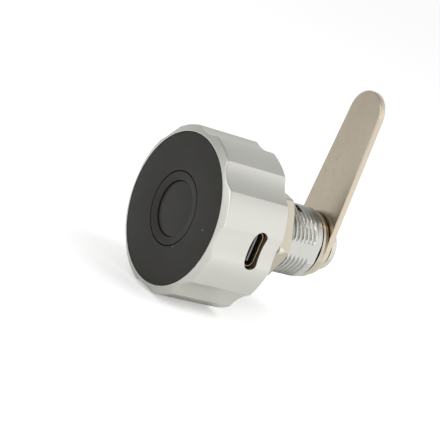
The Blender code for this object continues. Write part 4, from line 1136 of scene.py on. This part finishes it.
def make_rear_cover():
    """Cast disc with sunk screw heads and the bolt's hole."""
    inner = bore("rear_cover")
    outer = reach("rear_cover")
    material = satin_metal("cover_alloy_finish", (0.55, 0.55, 0.54), 0.42, grain=0.18 * MM,
                           depth=0.003 * MM)
    cover = turned_piece("knob_cover", [
        (inner, COVER_FRONT, 0.0), (outer, COVER_FRONT, 0.0), (outer, COVER_REAR, 0.25 * MM),
        (inner, COVER_REAR, 0.15 * MM)], FINE_TURN, material)
    floor = COVER_REAR - 0.95 * MM
    screw_hole = [(0.95 * MM, floor), (1.6 * MM, floor)]
    bolt_low, bolt_high = span("lock_bolt", 0)
    circle = boss_circle()
    holes = [(polar(circle["Radius"], circle["First_Angle"] + angle), screw_hole, 1.6 * MM)
             for angle in even_angles(circle["Count"])]
    holes += [(centre(f"spindle_screw_{index}"), [], 0.75 * MM) for index in (1, 2, 3)]
    holes.append((centre("lead_screw"), [], (bolt_high - bolt_low) / 2 + FIT))
    low = COVER_FRONT - CUT_PAST
    high = COVER_REAR + CUT_PAST
    lip = COVER_REAR - 0.12 * MM
    bm = bmesh.new()
    for middle, step, radius in holes:
        first = step[0][0] if step else radius
        turned(bm, [(0.0, low), (first, low), *step, (radius, lip), (radius + high - lip, high),
                    (0.0, high)], even_angles(SMALL_TURN), middle)
    cut(cover, new_object("cover_holes", bm))
    place(cover, "knob", "cover_alloy", "rear_cover")


def cross_form(name, top, depth, long, wide, taper):
    """A tapered cross for the recess in a screw's head."""
    sections = []
    for y, slim in ((top - depth, taper), (top + CUT_PAST, -taper * CUT_PAST / depth)):
        end = long - slim
        half = wide - slim / 3
        outline = []
        for turn in even_angles(4):
            outline += [(x * math.cos(turn) - z * math.sin(turn), x * math.sin(turn) + z * math.cos(turn))
                        for x, z in ((end, -half), (end, half), (half, half))]
        sections.append((y, outline))
    return lofted_piece(name, sections)


def make_cover_screws():
    """Four small pan-head screws with cross recesses."""
    low, high = span("cover_screw_1")
    head = high - 0.8 * MM
    shank = 0.8 * MM
    rim = 1.45 * MM
    material = turned_metal("cover_screw_finish", (0.5, 0.5, 0.49), 0.3, 0.04 * MM)
    form = turned_piece("screw_form", [
        (0.0, low, 0.0), (shank, low, 0.2 * MM), (shank, head, 0.0), (rim, head, 0.1 * MM),
        (rim, high, 0.3 * MM), (0.0, high, 0.0)], SMALL_TURN, material)
    cut(form, cross_form("screw_cross", high, 0.5 * MM, 0.8 * MM, 0.2 * MM, 0.15 * MM))
    screws = spread_copies("cover_screws", form, circle_tree(), material, **boss_circle())
    place(screws, "knob", "cover_screw_steel", *[f"cover_screw_{index}" for index in (1, 2, 3, 4)])


class LOCK_OT_rear_cover(bpy.types.Operator):
    """Make the cover that closes the knob, and its screws"""

    bl_idname = "lock.rear_cover"
    bl_label = "Rear Cover"

    def execute(self, context):
        make_rear_cover()
        make_cover_screws()
        return {"FINISHED"}


# The barrel and its nut

def barrel_angles(barrel):
    """Angles round the barrel, close together at the edges of its flats."""
    edge = math.acos(barrel.across_flats / 2 / reach("barrel", BEYOND_FLANGE))
    start = edge + math.radians(4.0)
    flat = [edge * part / 6 for part in range(-5, 6)]
    side = [start + (math.pi - 2 * start) * step / 44 for step in range(45)]
    near = [math.radians(sign * step) for sign in (-1, 1) for step in (0.2, 0.6, 1.2, 2.4)]
    half_turn = flat + side + [corner + step for corner in (edge, math.pi - edge) for step in near]
    return sorted((turn + angle) % math.tau for turn in (0.0, math.pi) for angle in half_turn)


def make_barrel(barrel):
    """Flanged barrel with a helical thread, two flats, and pockets for bolt and lug."""
    inner = bore("barrel")
    flange = reach("barrel")
    outer = reach("barrel", BEYOND_FLANGE)
    chamfer = barrel.end_chamfer
    flange_chamfer = 0.5 * MM
    outline = soften([
        (inner, FLANGE_FRONT, 0.1 * MM), (flange - flange_chamfer, FLANGE_FRONT, 0.1 * MM),
        (flange, FLANGE_FRONT + flange_chamfer, 0.1 * MM), (flange, 0.0, 0.25 * MM), (outer, 0.0, 0.0),
        (outer, BARREL_END - chamfer, 0.06 * MM), (outer - chamfer, BARREL_END, 0.06 * MM),
        (inner, BARREL_END, 0.1 * MM),
    ])

    def spacing(point, after):
        on_thread = max(abs(point[0] - outer), abs(after[0] - outer)) < 0.001 * MM
        return 0.1 * MM if on_thread else 4.0 * MM

    profile = []
    thread_end = BARREL_END - barrel.plain_end
    for radius, y in divide(outline, spacing):
        outside = 1.0 if y > 0.01 * MM and radius > outer - 0.6 * MM else 0.0
        fade = min((thread_end - y) / barrel.run_out, (y - barrel.thread_start) / barrel.run_out, 1.0)
        profile.append((radius, y, outside, outside * max(fade, 0.0)))
    material = plated_barrel("barrel_zinc_finish", barrel.zinc, 0.27)
    body = marked_piece("threaded_barrel", profile, ("flat_follow", "thread_follow"),
                        barrel_angles(barrel), material)
    grow(body, thread_tree(), Pitch=barrel.pitch, Thread_Start=barrel.thread_start,
         Thread_Depth=barrel.thread_depth, Half_Flats=barrel.across_flats / 2,
         Edge_Softness=0.06 * MM, Material=material)
    cut(body, pocket_form())
    place(body, "base", "barrel_zinc", "barrel")


def pocket_form():
    """The bolt's two pockets in the flange and the lug's track in the barrel's end."""
    bm = bmesh.new()
    front = FLANGE_FRONT - CUT_PAST
    floor = COVER_REAR + 2.5 * MM
    radius = 1.95 * MM
    for angle in (math.pi, math.pi / 2):
        turned(bm, [(0.0, front), (radius, front), (radius, floor), (0.0, floor)],
               even_angles(SMALL_TURN), polar(abs(centre("lead_screw")[0]), angle))
    half = 0.65 * MM
    start = math.radians(-191.5)
    end = math.radians(-78.5)
    track = arc(LUG_MIDDLE + half, start, end, 40) + arc(LUG_MIDDLE - half, end, start, 40)
    loft(bm, [[bm.verts.new((x, y, z)) for x, z in track]
              for y in (STOP_LUG_TIP - REST_GAP, BARREL_END + CUT_PAST)])
    return new_object("barrel_pockets", bm)


def nut_profile(barrel, inner, offset):
    """The nut's softened profile at an angle from the middle of a flat."""
    half = barrel.nut_across / 2
    chamfer_start = half + 0.3 * MM
    here = half / math.cos(offset)
    beside = half / math.cos(math.pi / 3 - abs(offset))
    gap = max(barrel.nut_corner - abs(here - beside), 0.0) / barrel.nut_corner
    radius = min(here, beside) - gap ** 3 * barrel.nut_corner / 6
    start = min(chamfer_start, radius - 0.03 * MM)
    drop = max(radius - chamfer_start, 0.0) * math.tan(math.radians(30)) + 0.03 * MM
    sink = 0.5 * MM
    return soften([
        (inner, NUT_FRONT + sink, 0.0), (inner + sink, NUT_FRONT, 0.08 * MM),
        (start, NUT_FRONT, 0.12 * MM), (radius, NUT_FRONT + drop, 0.12 * MM),
        (radius, NUT_REAR - drop, 0.12 * MM), (start, NUT_REAR, 0.12 * MM),
        (inner + sink, NUT_REAR, 0.08 * MM), (inner, NUT_REAR - sink, 0.0)], 4)


def make_nut(barrel):
    """Hexagon nut with chamfered corners, softened edges and a countersunk bore."""
    inner = bore("mounting_nut")
    half_flat = [0, 3, 6, 9, 12, 15, 18, 21, 23.5, 25.5, 27, 28, 28.7, 29.2, 29.6, 29.85, 30]
    offsets = [-angle for angle in half_flat[-2:0:-1]] + half_flat
    bm = bmesh.new()
    rings = []
    for side in even_angles(6):
        for offset in offsets:
            angle = barrel.nut_turn + side + math.radians(30 + offset)
            ring = []
            for radius, y in nut_profile(barrel, inner, math.radians(offset)):
                x, z = polar(radius, angle)
                ring.append(bm.verts.new((x, y, z)))
            rings.append(ring)
    skin(bm, rings)
    material = turned_metal("nut_nickel_finish", barrel.nickel, 0.2)
    tree = material.node_tree
    # Painted highlight: a warm pale spot on the nut's lower corner.
    paint_over(tree, spot(tree, 13.2, 5, -0.4, 0.5, 0.7), (0.9, 0.85, 0.74))
    # Painted shade: a dark band along the nut's rear edge, where it meets the thread.
    paint_shading_band(material, NUT_REAR - 0.2 * MM, NUT_REAR + 0.1 * MM, scaled(barrel.nickel, 0.35))
    place(new_object("hexagon_nut", bm, material), "base", "nut_nickel", "mounting_nut")


class LOCK_OT_barrel(bpy.types.Operator):
    """Make the threaded barrel and the nut that clamps it"""

    bl_idname = "lock.barrel"
    bl_label = "Barrel and Nut"

    def execute(self, context):
        barrel = context.scene.lock.barrel
        make_barrel(barrel)
        make_nut(barrel)
        return {"FINISHED"}


# The stop washer, cam, spring washer and screw

def square_form(name, size, low, high):
    """A square hole with clipped corners, for the spindle's end."""
    radius = 5.2 * MM
    spread = math.pi / 4 - math.acos(min(1.0, size / 2 / radius))
    outline = []
    for quarter in even_angles(4):
        middle = math.pi / 4 + quarter
        outline += arc(radius, middle - spread, middle + spread, 8)
    return lofted_piece(name, [(low - CUT_PAST, outline), (high + CUT_PAST, outline)])


def make_stop_washer(barrel, cam):
    """Washer on the spindle's square, with the lug that limits the turn."""
    radius = reach("stop_washer")
    material = turned_metal("stop_nickel_finish", barrel.nickel, 0.24)
    # Painted shade: near black on the washer's front face, in the gap by the barrel's end.
    paint_shading_band(material, STOP_FRONT - 0.1 * MM, STOP_FRONT + 0.06 * MM, scaled(barrel.nickel, 0.05))
    # Painted shade: dark brown on the washer's upper rear edge, beside the cam.
    paint_shading_band(material, STOP_REAR - 0.9 * MM, STOP_REAR + 0.1 * MM, (0.2, 0.14, 0.08), 1.5 * MM)
    washer = turned_piece("stop_disc", [
        (0.0, STOP_FRONT, 0.0), (radius, STOP_FRONT, 0.12 * MM), (radius, STOP_REAR, 0.15 * MM),
        (0.0, STOP_REAR, 0.0)], TURN, material)
    cut(washer, square_form("stop_square", cam.square, STOP_FRONT, STOP_REAR))
    place(washer, "knob", "stop_nickel", "stop_washer")
    down = math.radians(-90)
    sections = []
    for y, inset in ((STOP_LUG_TIP, 0.1 * MM), (STOP_LUG_TIP + 0.1 * MM, 0.0), (STOP_FRONT + 0.4 * MM, 0.0)):
        swing = math.radians(10) - inset / LUG_MIDDLE
        half = 0.5 * MM - inset
        sections.append((y, arc(LUG_MIDDLE + half, down - swing, down + swing, 12)
                         + arc(LUG_MIDDLE - half, down + swing, down - swing, 12)))
    place(lofted_piece("stop_lug", sections, material), "knob", "stop_nickel")


def cam_outline(base_radius, tip_radius, tip_height):
    """Tapered bar between two round ends."""
    lean = math.asin((base_radius - tip_radius) / tip_height)
    tip = [(x, z + tip_height) for x, z in arc(tip_radius, lean, math.pi - lean, 48)]
    base = arc(base_radius, math.pi - lean, math.tau + lean, 64)
    return tip + between(tip[-1], base[0], 12) + base + between(base[-1], tip[0], 12)


def make_cam(cam):
    """Stamped strip with one rounded and one sheared edge."""
    steps = [(CAM_FRONT + cam.stamped_edge - along, cam.stamped_edge - across)
             for along, across in arc(cam.stamped_edge, 0.0, math.pi / 2, 6)]
    steps += [(CAM_REAR - cam.sheared_edge + across, cam.sheared_edge - along)
              for along, across in arc(cam.sheared_edge, 0.0, math.pi / 2, 4)]
    material = drawn_metal("cam_nickel_finish", cam.nickel, 0.3)
    # Painted light: the cam's edge faces between the rounded and sheared edges are lighter.
    paint_shading_band(material, CAM_FRONT + cam.stamped_edge, CAM_REAR - cam.sheared_edge,
              scaled(cam.nickel, 1.16))
    strip = lofted_piece("cam_strip", [
        (y, cam_outline(cam.base_radius - inset, cam.tip_radius - inset, CAM_TOP - cam.tip_radius))
        for y, inset in steps], material)
    cut(strip, square_form("cam_square", cam.square, CAM_FRONT, CAM_REAR))
    place(strip, "knob", "cam_nickel", "cam")


def make_spring_washer():
    """Split washer of square wire with softened edges and a leaning slit."""
    inner = bore("spring_washer")
    outer = reach("spring_washer")
    corners = soften([(radius, y, 0.12 * MM) for radius, y in (
        (inner, SPRING_FRONT), (outer, SPRING_FRONT), (outer, SPRING_REAR), (inner, SPRING_REAR))], 4)
    half_gap = 0.35 * MM
    bm = bmesh.new()
    rings = []
    steps = 96
    for step in range(steps + 1):
        ring = []
        for radius, y in corners:
            lean = (y - SPRING_FRONT) / (SPRING_REAR - SPRING_FRONT) - 0.5
            half = math.asin(half_gap / radius)
            x, z = polar(radius, math.pi + half + (math.tau - 2 * half) * step / steps + lean * 0.1)
            ring.append(bm.verts.new((x, y, z)))
        rings.append(ring)
    loft(bm, rings)
    # Painted shade: the split washer is coloured dark so the gap under the screw's head reads as shaded.
    material = turned_metal("spring_steel_finish", (0.16, 0.14, 0.12), 0.3)
    place(new_object("split_washer", bm, material), "knob", "spring_steel", "spring_washer")


def make_cam_screw(cam):
    """Pan-head screw with a tapered cross recess."""
    radius = reach("cam_screw", HEAD_FRONT)
    shank = 2.45 * MM
    material = turned_metal("screw_nickel_finish", cam.screw, 0.16, 0.06 * MM)
    # Painted shadow: dark brown on the front of the screw's head, over the split washer.
    paint_shading_band(material, HEAD_FRONT - 0.1 * MM, HEAD_FRONT + 0.4 * MM, (0.1, 0.08, 0.06))
    screw = turned_piece("pan_screw", [
        (0.0, SCREW_END, 0.0), (shank - 0.4 * MM, SCREW_END, 0.1 * MM),
        (shank, SCREW_END + 0.4 * MM, 0.1 * MM), (shank, HEAD_FRONT, 0.1 * MM),
        (radius, HEAD_FRONT, 0.2 * MM), (radius, SCREW_TOP - 0.12 * MM, cam.head_round),
        (0.0, SCREW_TOP, 0.0)], TURN, material, 8)
    cut(screw, cross_form("screw_cross", SCREW_TOP, 1.5 * MM, cam.recess / 2, 0.55 * MM, 0.45 * MM))
    place(screw, "knob", "screw_nickel", "cam_screw")


class LOCK_OT_cam_end(bpy.types.Operator):
    """Make the stop washer, the cam, the split washer and the cam's screw"""

    bl_idname = "lock.cam_end"
    bl_label = "Cam End"

    def execute(self, context):
        settings = context.scene.lock
        make_stop_washer(settings.barrel, settings.cam)
        make_cam(settings.cam)
        make_spring_washer()
        make_cam_screw(settings.cam)
        return {"FINISHED"}


# Inner pieces

def dress(node, material):
    """Give a node of the frame its finish."""
    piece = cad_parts[node]
    piece.data.materials.clear()
    piece.data.materials.append(material)


class LOCK_OT_inner_finishes(bpy.types.Operator):
    """Give the pieces inside the knob and the barrel their finishes"""

    bl_idname = "lock.inner_finishes"
    bl_label = "Inner Finishes"

    def execute(self, context):
        # Painted shade: the light guide is coloured dark so the groove round the bezel reads as shaded.
        dress("status_light_guide", moulded("light_guide_finish", (0.12, 0.12, 0.13), 0.35))
        dress("sensor_board", circuit_board("small_board_finish", (0.02, 0.12, 0.05)))
        dress("main_board", circuit_board("main_board_finish", (0.02, 0.14, 0.06)))
        dress("sensor_ribbon", moulded("ribbon_finish", (0.45, 0.22, 0.05), 0.35))
        dress("inner_frame", moulded("frame_finish", (0.04, 0.04, 0.042), 0.55))
        dress("battery", drawn_metal("cell_wrap_finish", (0.55, 0.57, 0.6), 0.35))
        dress("drive_motor", turned_metal("motor_case_finish", (0.6, 0.6, 0.6), 0.28))
        dress("bolt_guide", moulded("guide_finish", (0.75, 0.75, 0.72), 0.5))
        dress("lead_screw", turned_metal("screw_brass_finish", (0.72, 0.53, 0.24), 0.3, 0.3 * MM))
        dress("lock_bolt", satin_metal("bolt_steel_finish", (0.58, 0.58, 0.57), 0.28))
        dress("spindle", satin_metal("spindle_alloy_finish", (0.55, 0.54, 0.5), 0.38))
        dress("thrust_washer", moulded("washer_nylon_finish", (0.8, 0.8, 0.77), 0.5))
        steel = turned_metal("spindle_screw_finish", (0.42, 0.42, 0.42), 0.35, 0.05 * MM)
        for index in (1, 2, 3):
            dress(f"spindle_screw_{index}", steel)
        return {"FINISHED"}


# The studio

def aim(thing, stand_at, target):
    """Stand a lamp or card at a place and turn its -Z side to the target."""
    away = Vector(target) - Vector(stand_at)
    thing.matrix_world = Matrix.Translation(stand_at) @ away.to_track_quat("-Z", "Y").to_matrix().to_4x4()


def flat_sheet(name, width, height, z, material):
    """A flat rectangle at a height."""
    bm = bmesh.new()
    bm.faces.new([bm.verts.new((x * width / 2, y * height / 2, z)) for x, y in
                  ((-1, -1), (1, -1), (1, 1), (-1, 1))])
    return new_object(name, bm, material)


def make_camera(studio):
    """The camera of the photograph, worked out from the knob's own ellipses."""
    data = bpy.data.cameras.new("photo_camera")
    data.sensor_width = 36.0
    data.lens = studio.focal_length
    data.clip_start = 0.01
    camera = link("photo_camera", data)
    right = Vector((0.49355, 0.77974, 0.38524))
    up = Vector((-0.37966, -0.20536, 0.90204))
    back = Vector((0.78247, -0.59147, 0.19469))
    turn = Matrix((right, up, back)).transposed().to_4x4()
    camera.matrix_world = Matrix.Translation((0.33175, -0.25671, 0.08261)) @ turn
    bpy.context.scene.camera = camera


def make_world(studio):
    """White for the camera, a soft fill for dull surfaces, and a room for metal to mirror."""
    world = bpy.data.worlds.new("white_studio")
    world.use_nodes = True
    tree = world.node_tree
    x, y, z = separate(tree, add_node(tree, "ShaderNodeTexCoord", {}, "Generated"))
    ceiling = 1.0 - smooth_step(tree, z, 0.45, 1.0) * studio.ceiling
    left = 1.0 - smooth_step(tree, x * -1.0, -0.1, 0.7) * studio.left_side
    front = 1.0 - smooth_step(tree, y * -1.0, 0.0, 0.4) * studio.front_side
    seen, clear, glossy = [add_node(tree, "ShaderNodeLightPath", {}, f"Is {kind} Ray")
                           for kind in ("Camera", "Transmission", "Glossy")]
    plain = compute(tree, "MAXIMUM", seen, clear) * (studio.white - studio.fill) + studio.fill
    room = ceiling * left * front * studio.white
    given = tree.nodes["Background"].inputs
    feed(tree, given["Strength"], plain + glossy * (room - plain))
    feed(tree, given["Color"], PLAIN_WHITE)
    bpy.context.scene.world = world


def make_floor(studio):
    """Pale floor under the knob."""
    material, tree = plain_material("pale_floor", (0.93, 0.93, 0.93), 0.9, 0.0)
    seen, glossy = [add_node(tree, "ShaderNodeLightPath", {}, f"Is {kind} Ray")
                    for kind in ("Camera", "Glossy")]
    given = principled(tree)
    feed(tree, given["Specular IOR Level"], 0.0)
    feed(tree, given["Emission Color"], PLAIN_WHITE)
    feed(tree, given["Emission Strength"], seen * studio.lift + glossy * studio.sheen)
    floor = flat_sheet("studio_floor", 12.0, 12.0, span("knob_housing", 2)[0] - 0.3 * MM, material)


def make_card(name, strength, stand_at, width, height, target):
    """A plain card that only the lock's surfaces mirror."""
    material = bpy.data.materials.new(f"{name}_finish")
    material.use_nodes = True
    tree = material.node_tree
    tree.nodes.remove(tree.nodes["Principled BSDF"])
    glow = add_node(tree, "ShaderNodeEmission", {"Color": PLAIN_WHITE, "Strength": strength})
    feed(tree, tree.nodes["Material Output"].inputs["Surface"], glow)
    card = flat_sheet(name, width, height, 0.0, material)
    aim(card, stand_at, target)
    card.visible_camera = False
    card.visible_diffuse = False
    card.visible_shadow = False
    card.visible_transmission = False


def make_key_lamp(studio):
    """A large soft lamp that metal doesn't mirror."""
    data = bpy.data.lights.new("key_lamp", "AREA")
    data.shape = "DISK"
    data.size = 0.5
    data.energy = studio.key
    lamp = link("key_lamp", data)
    lamp.visible_glossy = False
    aim(lamp, (0.5, 0.15, 0.75), (0.0, 0.0, 0.0))


class LOCK_OT_studio(bpy.types.Operator):
    """Set up the camera, the white surround, the floor, the cards and the lamp"""

    bl_idname = "lock.studio"
    bl_label = "Studio"

    def execute(self, context):
        studio = context.scene.lock.studio
        make_camera(studio)
        make_world(studio)
        make_floor(studio)
        low = span("knob_housing", 2)[0]
        make_card("reflector_card", studio.reflector, (0.335, 0.25, low), 0.6, 0.8, (0.335, 0.25, 1.0))
        make_card("strip_card", studio.strip, (0.41, -0.55, 0.07), 0.1, 0.45, (0.0, 0.0, 0.0))
        make_card("upper_strip_card", studio.strip, (0.14, -0.58, 0.47), 0.14, 0.4, (0.0, 0.0, 0.0))
        make_key_lamp(studio)
        context.scene.view_settings.view_transform = "Standard"
        return {"FINISHED"}


OPERATORS = [LOCK_OT_knob_shell, LOCK_OT_face, LOCK_OT_socket, LOCK_OT_rear_cover, LOCK_OT_barrel,
             LOCK_OT_cam_end, LOCK_OT_inner_finishes, LOCK_OT_studio]


class LOCK_PT_sidebar(bpy.types.Panel):
    """The lock's pieces and their settings"""

    bl_idname = "LOCK_PT_sidebar"
    bl_label = "Cam Lock"
    bl_space_type = "VIEW_3D"
    bl_region_type = "UI"
    bl_category = "Cam Lock"

    def draw(self, context):
        for operator in OPERATORS:
            self.layout.operator(operator.bl_idname)
        for group in ("knob", "face", "socket", "barrel", "cam", "studio"):
            settings = getattr(context.scene.lock, group)
            box = self.layout.box()
            box.label(text=group.title())
            for name in settings.__annotations__:
                box.prop(settings, name)


CLASSES = [KnobSettings, FaceSettings, SocketSettings, BarrelSettings, CamSettings, StudioSettings,
           LockSettings, *OPERATORS, LOCK_PT_sidebar]


def register():
    for made in CLASSES:
        bpy.utils.register_class(made)
    bpy.types.Scene.lock = PointerProperty(type=LockSettings)


def unregister():
    del bpy.types.Scene.lock
    for made in reversed(CLASSES):
        bpy.utils.unregister_class(made)


def main():
    """Make every piece and the studio."""
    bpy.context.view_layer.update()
    register()
    bpy.ops.lock.knob_shell()
    bpy.ops.lock.face()
    bpy.ops.lock.socket()
    bpy.ops.lock.rear_cover()
    bpy.ops.lock.barrel()
    bpy.ops.lock.cam_end()
    bpy.ops.lock.inner_finishes()
    bpy.ops.lock.studio()


if __name__ == "__main__":
    main()
